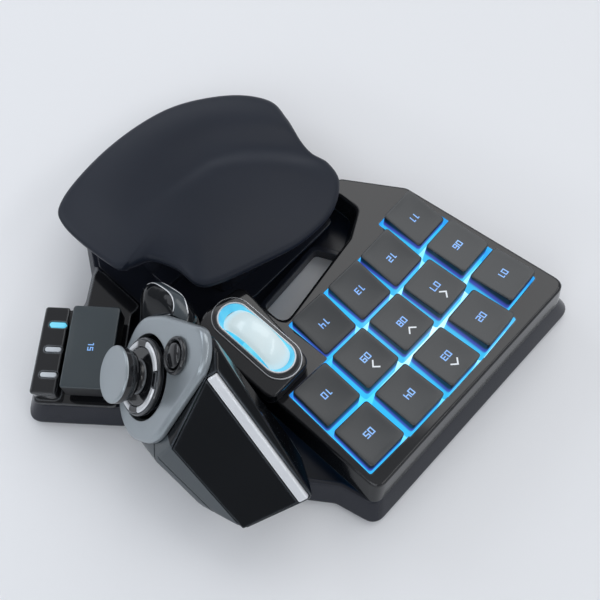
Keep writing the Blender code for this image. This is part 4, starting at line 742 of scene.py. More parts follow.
def makeTopShell():
    look, corners, well, wall = panelLook, panelCorners(), wellOutline(), plan["wallThickness"]
    edge, draft, under, spots = look["edge"], look["draft"], look["under"], screwSpots[:3]

    def outline(distance):
        return rounded(inset(corners, distance), look["corner"], look["cornerSteps"])

    def ring(distance, drop):
        return [Vector((x, y, panelHeight(y) - drop)) for x, y in outline(distance)]
    rings = [level(rounded(corners, look["corner"], look["cornerSteps"]), seamHeight + gap)]
    rings += [ring(draft - look["draftShy"] + edge * inward, edge * below) for inward, below in quarter(5)]
    low, high = seamHeight - look["hollowDrop"], plan["farHeight"]
    hollow = worked(lofted([level(outline(wall), 0.0), ring(draft + wall, wall)]), cuts(
        prism(inset(well, -look["wellWall"]), low, high), prism(windowOutline(wall), low, high),
        *rods(spots, plan["screwBoss"], 24, low, high)))
    side, end = plan["wheelWidth"] / 2 + look["wheelAside"], plan["wheelRadius"] + look["wheelAhead"]
    wheelX, wheelY = plan["wheelAt"]
    tools = [shapeOf(hollow), prism(rounded(well, look["wellCorner"], 4), under, deckHeight),
             prism(windowOutline(), under, deckHeight),
             prism(rect(wheelX - side, wheelX + side, wheelY - end, wheelY + end), seamHeight + gap * 2, deckHeight),
             prism(inset(well, -look["wellStep"]), under, seamHeight + gap)]
    for spot in spots:
        tools += [*rods([spot], plan["screwBore"], 20, under, seamHeight + plan["screwTop"]),
                  *rods([spot], look["screwRecess"], 24, under, seamHeight + gap)]
    mesh = worked(lofted(rings), cuts(*tools))
    # 1 is the inner wall of the well with a painted glow from the lit well, 2 a darker, less shiny copy of the gloss
    # on the outer walls: painted shade
    for face in mesh.polygons:
        if abs(face.normal.z) < look["steep"]:
            face.material_index = 1 if fromOutline(face.center, well) < look["litBand"] else 2
    return mesh


place("topShellFine", makeTopShell(), "base", "pianoBlack wellGlow podBlack", "top_shell")
print("top shell moulded")


# finger keys and the thumb key
keyLook = {
    "corner": 0.0014, "innerCorner": 0.0007, "edge": 0.0006, "side": 0.00035, "dish": 0.00035, "wall": 0.0014,
    "ceilingDrop": 0.0022, "stem": 0.0042, "stemReach": 0.0033, "cornerSteps": 7, "sideParts": 7,
    "skirtGap": 0.0038, "skirtIn": 0.0002, "skirtRise": 0.0003, "steep": 0.35,
    "heights": (0.0290, 0.0269, 0.0248), "tilts": (0.17, 0.05, -0.16), "thumbSize": (0.0312, 0.0167),
    "thumbHeight": 0.0250, "topShares": (0.95, 0.89, 0.82, 0.73, 0.62, 0.50, 0.37, 0.24, 0.10),
}


def keyOutline(halfX, halfY, radius):
    # more points along the straight sides, so that they can follow a hollow
    steps, parts = keyLook["cornerSteps"], keyLook["sideParts"]
    points = rounded(rect(-halfX, halfX, -halfY, halfY), radius, steps)
    outline = []
    for index, point in enumerate(points):
        outline.append(point)
        if index % (steps + 1) == steps:
            after = Vector(points[(index + 1) % len(points)])
            outline += [tuple(Vector(point).lerp(after, part / parts)) for part in range(1, parts)]
    return outline


def keyTopHeight(size, top, tilt, x, y):
    # a shallow hollow that fades out at all four edges
    across, along = (max(0.0, 1 - (2 * spot / (side - keyLook["edge"] * 2)) ** 2) for spot, side in zip((x, y), size))
    return top + tilt * y - keyLook["dish"] * across * math.sqrt(along)


def makeKey(size, top, tilt, bottom):
    corner, edge, draft = keyLook["corner"], keyLook["edge"], plan["keyDraft"]
    halfX, halfY = size[0] / 2, size[1] / 2
    ceiling = top - keyLook["ceilingDrop"] - abs(tilt) * halfY

    def ring(grown, radius, height, lean=0.0):
        return [Vector((x, y, height + lean * y)) for x, y in keyOutline(halfX + grown, halfY + grown, radius)]

    def stemRing(height):
        return [Vector((*(Vector(point).normalized() * keyLook["stem"]), height))
                for point in keyOutline(*size, corner)]
    inner = (draft - keyLook["wall"], corner - keyLook["innerCorner"])
    rings = [stemRing(bottom - keyLook["stemReach"]), stemRing(ceiling), ring(*inner, ceiling), ring(*inner, bottom),
             ring(draft - keyLook["skirtIn"], corner, bottom), ring(draft, corner, bottom + keyLook["skirtRise"])]
    for step, (inward, below) in enumerate(quarter(5)):
        rings.append(ring(keyLook["side"] - edge * inward, corner - edge / 3 * step / 5, top - edge * below, tilt))
    outline = keyOutline(halfX - edge, halfY - edge, corner)
    for share in keyLook["topShares"]:
        spots = scaled(outline, share, share)
        rings.append([Vector((x, y, keyTopHeight(size, top, tilt, x, y))) for x, y in spots])
    mesh = meshOf(lofted(rings), 50.0)
    for face in mesh.polygons:
        face.material_index = 0 if face.normal.z > keyLook["steep"] and face.center.z > ceiling else 1
    return mesh


strokes = {
    "0": [[(0, 0), (1, 0), (1, 1.6), (0, 1.6), (0, 0)]],
    "1": [[(0.15, 1.6), (0.62, 1.6), (0.62, 0)]],
    "2": [[(0, 1.6), (1, 1.6), (1, 0.8), (0, 0.8), (0, 0), (1, 0)]],
    "3": [[(0, 1.6), (1, 1.6), (1, 0), (0, 0)], [(0.15, 0.8), (1, 0.8)]],
    "4": [[(0, 1.6), (0, 0.7), (1, 0.7)], [(1, 1.6), (1, 0)]],
    "5": [[(1, 1.6), (0, 1.6), (0, 0.85), (1, 0.85), (1, 0), (0, 0)]],
    "6": [[(1, 1.6), (0, 1.6), (0, 0), (1, 0), (1, 0.85), (0, 0.85)]],
    "7": [[(0, 1.6), (1, 1.6), (1, 0)]],
    "8": [[(0, 0), (1, 0), (1, 1.6), (0, 1.6), (0, 0)], [(0, 0.8), (1, 0.8)]],
    "9": [[(0, 0), (1, 0), (1, 1.6), (0, 1.6), (0, 0.8), (1, 0.8)]],
    "arrow": [[(-1, -0.5), (0, 0.5), (1, -0.5)]],
}
numberLook = {
    "digitWidth": 0.00160, "digitGap": 0.00095, "middle": 0.8, "stretch": 1.05, "stroke": 0.00053, "part": 0.0006,
    "mitreLimit": 0.5, "rise": 0.00008, "depth": 0.00025, "fingerSize": 0.82, "thumbSize": 0.66,
    "arrowHalf": 0.00165, "arrowStroke": 0.00055, "arrowOffset": 0.0043,
}
arrowTurns = {3: 0.0, 7: 90.0, 8: 180.0, 9: -90.0}


def addStroke(shape, points, width, surface):
    # one flat stroke with mitred corners that lies on a curved surface
    path, closed, half = [Vector(points[0])], points[0] == points[-1], width / 2
    for start, end in zip(points, points[1:]):
        parts = max(1, int((Vector(end) - Vector(start)).length / numberLook["part"]))
        path += [Vector(start).lerp(Vector(end), k / parts) for k in range(1, parts + 1)]
    last, rise, depth, rings = len(path) - 1, numberLook["rise"], numberLook["depth"], []
    for index, here in enumerate(path):
        before = path[index - 1] if index else path[-2] if closed else here - (path[1] - here)
        after = path[index + 1] if index < last else path[1] if closed else here + (here - path[index - 1])
        first, second = (here - before).normalized(), (after - here).normalized()
        normal = Vector((-(first + second).y, (first + second).x)).normalized()
        aside = normal * (half / max(numberLook["mitreLimit"], normal.dot(Vector((-first.y, first.x)))))
        if not closed and index in (0, last):
            here = here + first * (half if index else -half)
        left, right = here + aside, here - aside
        rings.append([(*spot, surface(*spot) + height)
                      for spot, height in ((left, rise), (right, rise), (right, -depth), (left, -depth))])
    skin(shape, rings)


def numberMesh(text, size, surface):
    shape = bmesh.new()
    width, space = numberLook["digitWidth"] * size, numberLook["digitGap"] * size
    total = len(text) * width + (len(text) - 1) * space
    for index, sign in enumerate(text):
        left = index * (width + space) - total / 2
        for stroke in strokes[sign]:
            points = [(left + x * width, (y - numberLook["middle"]) * width * numberLook["stretch"])
                      for x, y in stroke]
            addStroke(shape, points, numberLook["stroke"] * size, surface)
    return meshOf(shape)


def arrowMesh(turn, surface):
    shape, half = bmesh.new(), numberLook["arrowHalf"]
    points = turnedPoints(scaled(strokes["arrow"][0], half, half), turn, (0.0, numberLook["arrowOffset"]))
    addStroke(shape, points, numberLook["arrowStroke"], surface)
    return meshOf(shape)


def addKey(name, body, number, where, form, finishNames, numberSize):
    def surface(x, y):
        return keyTopHeight(*form[:3], x, y)
    place(f"{name}Cap", makeKey(*form), body, finishNames, body, where)
    place(f"{name}Number", numberMesh(f"{number:02d}", numberSize, surface), body, "numberGlow", "",
          where, False)
    if number in arrowTurns:
        place(f"{name}Arrow", arrowMesh(arrowTurns[number], surface), body, "arrowPrintAndGlow", "",
              where, False)


number = 0
for row, (top, tilt) in enumerate(zip(keyLook["heights"], keyLook["tilts"])):
    for column in range(plan["rowSizes"][row]):
        number += 1
        form = ((plan["keyWidth"], plan["keyDepth"]), top, tilt, seamHeight + keyLook["skirtGap"])
        addKey(f"key_{number:02d}", f"key_{number:02d}", number,
               spotFrame(keySpot(column, row), plan["columnTurns"][column]), form, "keyPlastic litSides",
               numberLook["fingerSize"])
form = (keyLook["thumbSize"], keyLook["thumbHeight"], 0.0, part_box("key_15")[0].z + keyLook["stemReach"])
addKey("thumbKey", "key_15", 15, wingWhere, form, "thumbKeyPlastic keySides", numberLook["thumbSize"])
print("keys and numbers moulded:", number + 1)


# scroll wheel, its ring and its raised cover
wheelLook = {
    "steps": 96, "tyreEdge": 0.0007, "crown": 0.0014, "crownParts": 16, "crownWidth": 0.995, "tyre": 0.0030,
}


def makeTyre():
    look, radius, half = wheelLook, plan["wheelRadius"], plan["wheelWidth"] / 2
    edge, crown, parts = look["tyreEdge"], look["crown"], look["crownParts"]
    inner = radius - look["tyre"] + gap
    profile = [(inner, -half), (radius - crown - edge, -half)]
    for step in range(parts + 1):
        across = -1 + 2 * step / parts
        profile.append((radius - crown * across ** 2 - edge * across ** 12, half * across * look["crownWidth"]))
    profile += [(radius - crown - edge, half), (inner, half)]
    return meshOf(revolved(profile, look["steps"], True))


wheelWhere = Matrix.Translation((*plan["wheelAt"], axleHeight)) @ Matrix.Rotation(math.pi / 2, 4, "Y")
place("wheelTyre", makeTyre(), "wheel", "wheelGlow", "wheel_tyre", wheelWhere)

deckLook = {
    "edge": 0.0012, "wall": 0.0018, "corner": 0.0042, "steps": 8, "right": 0.0545, "far": 0.0125, "farLeft": 0.0295,
    "bezelLength": 0.0385, "bezelWidth": 0.0150, "rim": 0.0017, "stand": 0.0010, "sleeve": 0.0018,
    "roundIn": 0.8, "roundDown": 0.6, "lip": 0.0011, "lipDrop": 0.0004,
    "haloOuter": (0.0, 0.0), "haloLip": (0.0005, 0.0002), "haloWaist": (0.00108, 0.00024),
    "haloFoot": (0.0024, 0.0004), "haloStand": 0.45, "haloLow": 0.0016, "haloDrop": 0.0009, "footRise": 0.0003,
    "line": 0.00055, "lineSoft": 0.25, "lineRise": 0.0008, "innerGrown": 0.0010, "innerRise": 0.00015,
}
bezelTop = deckHeight + gap + deckLook["stand"]
bezelOuter = (deckLook["bezelLength"], deckLook["bezelWidth"])
sleeveSize = (deckLook["bezelLength"] - deckLook["rim"] * 2, deckLook["bezelWidth"] - deckLook["rim"])
funnelSize = (deckLook["bezelLength"] - deckLook["rim"] * 3, deckLook["bezelWidth"] - deckLook["rim"] * 2)


def wheelRing(size, height, less=0.0, lessWidth=None):
    return level(oblong(size[0] - less, size[1] - (less if lessWidth is None else lessWidth), plan["wheelAt"], 32),
                 height)


def makeDeck():
    look, corner, steps, edge = deckLook, deckLook["corner"], deckLook["steps"], deckLook["edge"]
    outline = [*scaled([(0.54, -0.96), (0.84, -1.0), (1.0, -0.96)], look["right"], plan["deckNear"]),
               (look["right"], -look["far"]), (look["farLeft"] + plan["windowSkew"], -look["far"])]
    rings = [[Vector((x, y, panelHeight(y) + gap)) for x, y in rounded(outline, corner, steps)]]
    rings += [level(rounded(inset(outline, edge * inward), corner, steps), deckHeight - edge * below)
              for inward, below in quarter(5)]
    inner = rounded(inset(outline, look["wall"]), corner, steps)
    hole = lofted([wheelRing(sleeveSize, height, -gap * 2) for height in (seamHeight, deckHeight * 2)])
    return worked(lofted(rings), cuts(prism(inner, seamHeight, deckHeight - look["wall"]), hole))


def makeBezel():
    look, low, stand = deckLook, deckHeight - deckLook["sleeve"], deckLook["stand"]
    roundIn, roundDown = stand * look["roundIn"], stand * look["roundDown"]
    rings = [wheelRing(sleeveSize, low), wheelRing(sleeveSize, deckHeight + gap),
             wheelRing(bezelOuter, deckHeight + gap), wheelRing(bezelOuter, bezelTop - roundDown)]
    rings += [wheelRing(bezelOuter, bezelTop - roundDown * below, roundIn * inward)
              for inward, below in quarter(4, 1)]
    rings += [wheelRing(funnelSize, bezelTop, -look["lip"]), wheelRing(funnelSize, bezelTop - look["lipDrop"]),
              wheelRing(funnelSize, low)]
    return meshOf(lofted(rings, True))


def makeHalo():
    # a clear lit funnel between the ring and the wheel
    look = deckLook
    outer, lip, waist, foot = (look[part] for part in ("haloOuter", "haloLip", "haloWaist", "haloFoot"))
    top, low = deckHeight + gap + look["stand"] * look["haloStand"], deckHeight - look["haloLow"]
    heights = ((outer, low), (outer, top), (lip, top), (waist, top - look["haloDrop"]),
               (foot, low + look["footRise"]), (foot, low))
    return meshOf(lofted([wheelRing(funnelSize, height, x * 2, y * 2) for (x, y), height in heights], True))


def makeHighlightBand(size, low, high):
    # a thin bright band that follows the oblong: a painted highlight on the bezel's edge
    line = deckLook["line"]
    soft = line * deckLook["lineSoft"]
    sections = ((0.0, low), (0.0, high - soft), (soft * 2, high), (line * 2 - soft * 2, high),
                (line * 2, high - soft), (line * 2, low))
    return meshOf(lofted([wheelRing(size, height, less) for less, height in sections], True))


place("wheelDeckFine", makeDeck(), "base", "pianoBlack", "wheel_deck")
place("wheelBezelFine", makeBezel(), "base", "pianoBlack", "wheel_bezel")
place("wheelHalo", makeHalo(), "base", "wheelHalo")
# the two bright bands are painted highlights on the bezel's outer and inner edges
outerLine = [side + deckLook["line"] for side in bezelOuter]
innerLine = [side + deckLook["innerGrown"] for side in funnelSize]
place("bezelLineOuter", makeHighlightBand(outerLine, deckHeight, deckHeight + deckLook["lineRise"]), "base", "silverPaint")
place("bezelLineInner", makeHighlightBand(innerLine, bezelTop - deckLook["lipDrop"], bezelTop + deckLook["innerRise"]), "base",
      "silverPaint")
print("wheel and its cover moulded")


# thumb pod
podLook = {
    "faceAt": (0.0791, -0.0487, 0.0354), "faceTurns": ((-37.0, "Z"), (51.3, "Y"), (152.7, "Z")),
    "round": 0.0022, "wall": 0.0018, "thickness": 0.0030, "faceEdge": 0.0018, "corner": 0.0075, "ledge": 0.0035,
    "reach": 0.0360, "halfWidth": 0.0217, "left": 0.0173, "faceRound": 0.0150, "faceSteps": 14,
    "crest": ((0.0665, -0.0244, 0.0609), (0.0899, -0.0238, 0.0380), (0.0715, 0.0208, 0.0354)),
    "farRight": (0.0915, 0.0100), "crestDrop": 0.0012, "crestLean": 0.0022,
    "shoulderNear": (0.0960, -0.0265, 0.0290), "shoulderFar": (0.0955, -0.0050, 0.0205),
    "coverThickness": 0.0018, "coverMargin": 0.0010, "coverEdge": (0.0004, 0.0007),
    "stripWidth": 0.0036, "stripDepth": 0.0016, "stripStand": 0.0004, "stripEdge": (0.0005, 0.0006),
    "seam": 0.0176, "seamSlope": -0.42, "seamGap": 0.0007, "seamInset": 0.0024, "seamLine": 0.00036,
    "slitEnds": (-0.05, 0.08), "slitDepth": 1.6, "seamReach": 0.18, "sideNear": 0.0508, "inner": 0.0574,
    "nearEnd": 0.0600, "footInset": 0.0006, "frontCut": 0.0062, "frontRise": 0.003, "cutRise": 0.004,
    "cutReach": 0.2, "bossTop": 0.0058, "wheelRoom": 0.0345, "sharp": 30.0,
}
faceFrame = Matrix.Translation(podLook["faceAt"])
for degrees, axis in podLook["faceTurns"]:
    faceFrame = faceFrame @ Matrix.Rotation(math.radians(degrees), 4, axis)


def faceCorners(distance=0.0):
    left, half, reach = podLook["left"], podLook["halfWidth"], podLook["reach"]
    outline = [*scaled([(-1.0, 0.37), (-0.98, -0.60), (-0.35, -1.0)], left, half),
               *scaled([(0.30, -1.0), (1.0, 0.32), (0.93, 0.85), (0.17, 1.0)], reach, half),
               *scaled([(-0.58, 0.94)], left, half)]
    return inset(outline, distance)


def axesFrame(start, *axes):
    return Matrix.Translation(start) @ Matrix(axes).transposed().to_4x4()


nearLeft, nearRight, farLeft = (Vector(point) for point in podLook["crest"])
coverNormal = (nearRight - nearLeft).cross(farLeft - nearLeft).normalized()
farX, farY = podLook["farRight"]
farFall = (coverNormal.x * (farX - nearLeft.x) + coverNormal.y * (farY - nearLeft.y)) / coverNormal.z
farRight = Vector((farX, farY, nearLeft.z - farFall))
coverAlong = farLeft - nearLeft
coverAlong = (coverAlong - coverNormal * coverAlong.dot(coverNormal)).normalized()
coverFrame = axesFrame(nearLeft, coverAlong.cross(coverNormal), coverAlong, coverNormal)
coverCorners = [tuple((coverFrame.inverted() @ corner).xy) for corner in (nearLeft, nearRight, farRight, farLeft)]


def podPoints():
    look = podLook
    ring = [faceFrame @ point
            for point in level(rounded(faceCorners(), look["faceRound"], 8), -look["thickness"] - gap)]
    lean = Vector((look["crestLean"], 0.0, look["crestDrop"]))
    right, far, inner = plan["podRight"] - look["footInset"], plan["podFar"], look["inner"]
    base = [(right, -look["sideNear"]), (right, -4.0 * far), (right * 0.90, far - look["footInset"]),
            (right * 0.755, far * 2), (inner, far), (inner, -look["nearEnd"])]
    return (ring + [nearLeft - lean, farLeft - lean, nearLeft, nearRight, farLeft, farRight]
            + [Vector(look["shoulderNear"]), Vector(look["shoulderFar"])] + level(base, seamHeight + gap))


def seamBlock(upper, grown):
    reach = podLook["seamReach"]
    side, moved = (reach, -grown) if upper else (-reach, grown)
    near, far = (podLook["seam"] + podLook["seamSlope"] * y + moved for y in (-reach, reach))
    return lofted([[Vector((x, -reach, near)), Vector((x, reach, far)), Vector((x, reach, far + side)),
                    Vector((x, -reach, near + side))] for x in (-reach, reach)])


def coverArea(*corners):
    # corners of the cover's plane between its margins, each moved aside by its own amount
    margin = podLook["coverMargin"]
    return [(coverCorners[index][0] + aside, coverCorners[index][1] + (margin if index < 2 else -margin))
            for index, aside in corners]


stripSide, coverSide = podLook["stripWidth"], podLook["stripWidth"] + gap
coverPlate = coverArea((0, coverSide), (1, 0.0), (2, 0.0), (3, coverSide))
stripPlate = coverArea((0, 0.0), (0, stripSide), (3, stripSide), (3, 0.0))


def repainted(mesh, planes, chosen, sharp):
    # the skin is cut along planes, so that each finish ends at a clean line
    shape = shapeOf(mesh)
    for point, normal in planes:
        bisected(shape, point, normal)
    for face in shape.faces:
        face.material_index = chosen(face.calc_center_median())
    shape.to_mesh(mesh)
    shape.free()
    return smoothed(mesh, sharp)


def twoTone(mesh):
    # satin on the shoulder below the cover's lower side, gloss on everything above it
    one, two = (Vector((*coverCorners[index], 0.0)) for index in (1, 2))
    across, toCover = (two - one).cross(Vector((0.0, 0.0, 1.0))).normalized(), coverFrame.inverted()

    def chosen(spot):
        return 0 if (toCover @ spot - one).dot(across) > 0 else 1
    return repainted(mesh, [(coverFrame @ one, coverFrame.to_3x3() @ across)], chosen, podLook["sharp"])


def makePodShell(upper):
    look, points, reach, rise = podLook, podPoints(), podLook["cutReach"], podLook["cutRise"]
    clearArea = prism(rect(-reach, reach, -reach, reach), -look["thickness"] - gap / 2, reach)
    front = prism(rounded(faceCorners(look["ledge"]), look["corner"], 6), -look["frontCut"], look["frontRise"])
    hollow, screw = hullOf(shrunk(points, look["wall"])), screwSpots[3:]
    if not upper:
        hollow = shapeOf(worked(hollow, cuts(*rods(screw, plan["screwBoss"], 24, 0.0, seamHeight + look["bossTop"]))))
    tools = [hollow, seamBlock(not upper, look["seamGap"] / 2), turnedShape(clearArea, faceFrame),
             turnedShape(front, faceFrame)]
    if upper:
        near, line = Vector(look["shoulderNear"]), look["seamLine"]
        along, side = (Vector(look["shoulderFar"]) - near).normalized(), nearRight - near
        side = (side - along * side.dot(along)).normalized()
        slit = prism(rect(*look["slitEnds"], -line / 2, line / 2), -line * look["slitDepth"], rise)
        recess = prism(inset(coverPlate, -gap), -look["coverThickness"] - gap, rise)
        groove = prism(inset(stripPlate, -gap), -look["stripDepth"] - gap, rise)
        slitFrame = axesFrame(near + side * look["seamInset"], along, side, along.cross(side).normalized())
        tools += [turnedShape(slit, slitFrame), turnedShape(recess, coverFrame), turnedShape(groove, coverFrame)]
    else:
        tools += rods(screw, plan["screwBore"], 20, 0.0, seamHeight + plan["screwTop"])
        tools.append(prism(rect(0.0, nearLeft.x, -reach, -plan["deckNear"]), look["wheelRoom"], reach))
    return twoTone(worked(softHull(points, look["round"]), cuts(*tools), look["sharp"]))


def plateShape(outline, low, high, edge, corner):
    def ring(distance, height):
        return level(rounded(inset(outline, distance), corner, 8), height)
    rounding = [ring(edge * inward, high - edge * below) for inward, below in quarter(4)]
    return lofted([ring(edge / 2, low), ring(0.0, low + edge / 2), *rounding])


place("podUpperFine", makePodShell(True), "base", "shoulderSatin podBlack", "pod_upper_shell")
place("podLowerFine", makePodShell(False), "base", "shoulderSatin podBlack", "pod_lower_shell")
coverForm = plateShape(coverPlate, -podLook["coverThickness"], 0.0, *podLook["coverEdge"])
place("podCoverFine", meshOf(coverForm), "base", "podBlack", "pod_top_cover", coverFrame)
stripForm = plateShape(stripPlate, -podLook["stripDepth"], podLook["stripStand"], *podLook["stripEdge"])
place("podStripFine", meshOf(stripForm), "base", "silverPaint", "pod_silver_strip", coverFrame)

neckLook = {
    "left": 0.0495, "near": 0.0760, "far": 0.0565, "crown": 0.0520, "shoulder": 0.0345, "thumb": 0.0680,
    "corner": 0.0060, "round": 0.0046, "swell": 0.0022, "voxel": 0.0009, "sharp": 40.0,
    "shoulderShares": (0.8, 1.0, 0.9, 0.7), "crownShares": (0.84, 0.88, 1.0, 0.8),
    "deckSide": 0.0548, "deckMargin": 0.0015, "deckRise": 0.0010, "rimSide": 0.0570, "rimRise": 0.0021,
    "lines": (-0.0040, -0.0078), "lineRadius": 0.00026, "lineFrom": 0.0180, "lineLow": 0.0320,
    "lineParts": 48, "lineTurns": 6, "tipSize": 0.3, "tipParts": 6,
}
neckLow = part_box("pod_neck")[0].z


def neckPoints():
    look = neckLook
    left, near, far, corner, thumb = look["left"], look["near"], look["far"], look["corner"], look["thumb"]
    inner = podLook["inner"] - gap
    foot = [(left, -far), (left, -near + corner), (left + corner, -near), (thumb, -near + corner * 2), (inner, -far)]
    shoulder = [(left, -far), (left + corner / 3, -near + corner), *foot[2:4]]
    crown = [(left + corner, -far - corner), (left + corner / 2, -far), (inner, -far + corner * 2),
             (inner, -near + corner)]
    points = level(foot, neckLow)
    for spots, part in ((shoulder, "shoulder"), (crown, "crown")):
        points += [Vector((*spot, look[part] * share)) for spot, share in zip(spots, look[f"{part}Shares"])]
    return points


def makeNeck():
    look, reach = neckLook, podLook["cutReach"]
    return worked(softHull(shrunk(neckPoints(), -look["swell"]), look["round"]), cuts(
        hullOf(shrunk(podPoints(), -gap * 2)), prism(rect(-reach, reach, -reach, reach), -reach, neckLow),
        prism(rect(0.0, look["deckSide"], -plan["deckNear"] - look["deckMargin"], 0.0), 0.0,
              deckHeight + look["deckRise"]),
        prism(rect(look["rimSide"], plan["podRight"], -reach, 0.0), 0.0, seamHeight + look["rimRise"])),
        look["sharp"], look["voxel"])


def facePlane(depth):
    return faceFrame @ Vector((0.0, 0.0, depth)), faceFrame.to_3x3() @ Vector((0.0, 0.0, 1.0))


def neckHighlightLine(mesh, depth):
    # where the hump crosses a plane parallel to the thumb face
    shape, toFace, links = shapeOf(mesh), faceFrame.inverted(), {}
    for item in bisected(shape, *facePlane(depth))["geom_cut"]:
        if isinstance(item, bmesh.types.BMEdge):
            one, two = item.verts
            links.setdefault(one, []).append(two)
            links.setdefault(two, []).append(one)

    def shown(vert):
        return (toFace @ vert.co).y > neckLook["lineFrom"] and vert.co.z > neckLook["lineLow"]
    here = min((vert for vert in links if shown(vert)), key=lambda vert: (toFace @ vert.co).x)
    chain = [here]
    while here:
        here = next((vert for vert in links[here] if vert not in chain and shown(vert)), None)
        chain += [here] if here else []
    line = [vert.co.copy() for vert in chain]
    shape.free()
    return line


def evened(path, count):
    # the same path with even steps, so the thin line runs smoothly
    lengths = [0.0]
    for one, two in zip(path, path[1:]):
        lengths.append(lengths[-1] + (two - one).length)
    points = []
    for step in range(count + 1):
        goal = lengths[-1] * step / count
        index = min(max(k for k in range(len(path)) if lengths[k] <= goal + 1e-9), len(path) - 2)
        span = max(lengths[index + 1] - lengths[index], 1e-9)
        points.append(path[index].lerp(path[index + 1], (goal - lengths[index]) / span))
    for turn in range(neckLook["lineTurns"]):
        between = [(a + b * 2 + c) / 4 for a, b, c in zip(points, points[1:], points[2:])]
        points = [points[0], *between, points[-1]]
    return points


def tubeAlong(path, radius, sides=8):
    # thinner towards both ends
    last, tip, parts, rings = len(path) - 1, neckLook["tipSize"], neckLook["tipParts"], []
    for index, point in enumerate(path):
        ahead = path[min(index + 1, last)] - path[max(index - 1, 0)]
        turn = ahead.to_track_quat("Z", "Y").to_matrix()
        size = radius * min(1.0, tip + index / parts, tip + (last - index) / parts)
        rings.append([point + turn @ spot for spot in level(ringPoints(size, sides), 0.0)])
    return meshOf(lofted(rings))


def banded(mesh, low, high):
    # the satin band between the two thin lines
    toFace = faceFrame.inverted()

    def chosen(spot):
        flat = toFace @ spot
        return 1 if low < flat.z < high and flat.y > neckLook["lineFrom"] else 0
    return repainted(mesh, [facePlane(low), facePlane(high)], chosen, neckLook["sharp"])


neckMesh = makeNeck()
# two thin silver lines along the hump: painted highlights where its gloss catches the light
for index, depth in enumerate(neckLook["lines"]):
    path = evened(neckHighlightLine(neckMesh, depth), neckLook["lineParts"])
    place(f"neckLine{index + 1}", tubeAlong(path, neckLook["lineRadius"]), "base", "silverPaint")
place("podNeckFine", banded(neckMesh, *sorted(neckLook["lines"])), "base", "podBlack shoulderSatin",
      "pod_neck")
print("thumb pod moulded")


# thumb face with the stick and the round button
stickLook = {
    "padRadius": 0.0134, "padGap": 0.0015, "padStand": 0.0022, "padThickness": 0.0032, "padEdge": 0.0010,
    "padFoot": 0.0012, "pivot": 0.0060, "pin": 0.0010, "pinReach": 0.0083, "groove": 0.0113, "grooveWidth": 0.0022,
    "grooveDepth": 0.0010, "post": 0.0022, "neck": 0.0052, "capRadius": 0.0097,
    "capHeight": 0.0118, "capThickness": 0.0034, "capEdge": 0.0008, "capDish": 0.0005,
    "capShares": (0.86, 0.7, 0.5, 0.3, 0.12), "gimbalHalf": 0.0019, "stem": 0.0029, "steps": 96, "arcs": 4,
    "arcShare": 0.68, "arcEdge": 0.0004, "lugRise": 0.4, "lugGap": 0.06, "collar": 0.0090, "inlay": 0.0010,
    "waist": ((0.0009, 0.0003), (0.0004, 0.0006), (0.0, 0.0014), (0.0, 0.0024), (0.0006, 0.0029)),
    "flare": ((0.0016, 0.0034), (0.0007, 0.0039), (0.0002, 0.0048)), "capFoot": (0.0003, 0.0007), "collarEnd": 0.0004,
}
buttonLook = {
    "at": (0.0193, 0.0088), "radius": 0.0042, "room": 0.0005, "sleeve": 0.0007, "ring": 0.0064, "ringStand": 0.0010,
    "ringRise": 0.0002, "foot": 0.0068, "side": 0.0012, "dome": 0.0011, "domeShare": 0.92, "steps": 72,
}
faceLook = {
    "posts": ((0.24, -0.62), (-0.04, -0.64), (0.70, 0.16)), "postRadius": 0.0020, "postFoot": 0.0108, "bore": 0.03,
}
buttonHole = buttonLook["radius"] + buttonLook["room"]


def makeFacePlate():
    edge, corner, thick, steps = (podLook[part] for part in ("faceEdge", "faceRound", "thickness", "faceSteps"))
    rings = [level(rounded(faceCorners(), corner, steps), -thick)]
    rings += [level(rounded(faceCorners(edge * inward), corner, steps), -edge * below)
              for inward, below in quarter(6)]
    posts, bore = scaled(faceLook["posts"], podLook["reach"], podLook["halfWidth"]), faceLook["bore"]
    return worked(lofted(rings), joins(
        *rods(posts, faceLook["postRadius"], 24, -faceLook["postFoot"], -thick / 2)) + cuts(
        prism(ringPoints(stickLook["padRadius"] + stickLook["padGap"], 96), -bore, bore),
        prism(ringPoints(buttonHole + buttonLook["sleeve"] + gap, 72, buttonLook["at"]), -bore, bore)))


def makePad():
    look, radius, foot, post = stickLook, stickLook["padRadius"], stickLook["padFoot"], stickLook["post"] + gap
    top, low = look["padStand"], look["padStand"] - look["padThickness"]
    bed, half = top - look["grooveDepth"], look["grooveWidth"] / 2 + gap
    outer, inner = look["groove"] + half, look["groove"] - half
    profile = [(look["stem"], -look["pivot"] - look["gimbalHalf"]), (look["stem"], low), (radius - foot, low),
               (radius, low + foot), *roundEdge(radius, top, look["padEdge"], 5),
               (outer, top), (outer, bed), (inner, bed), (inner, top), (post, top), (post, low)]
    pins = turnedShape(prism(ringPoints(look["pin"], 16), -look["pinReach"], look["pinReach"]),
                       Matrix.Translation((0.0, 0.0, -look["pivot"])) @ Matrix.Rotation(math.pi / 2, 4, "X"))
    return worked(revolved(profile, look["steps"]), joins(pins))


sweep = 2 * math.pi / stickLook["arcs"]
grooveInner, grooveOuter = (stickLook["groove"] + side * stickLook["grooveWidth"] / 2 for side in (-1, 1))
grooveBed = stickLook["padStand"] - stickLook["grooveDepth"] + gap


def ringParts(section, first, span, steps):
    # the same part of a ring at each quarter
    shape = bmesh.new()
    for arc in range(stickLook["arcs"]):
        angles = [sweep * arc + first + span * step / steps for step in range(steps + 1)]
        skin(shape, [[(math.cos(angle) * r, math.sin(angle) * r, z) for r, z in section] for angle in angles])
    return meshOf(shape)


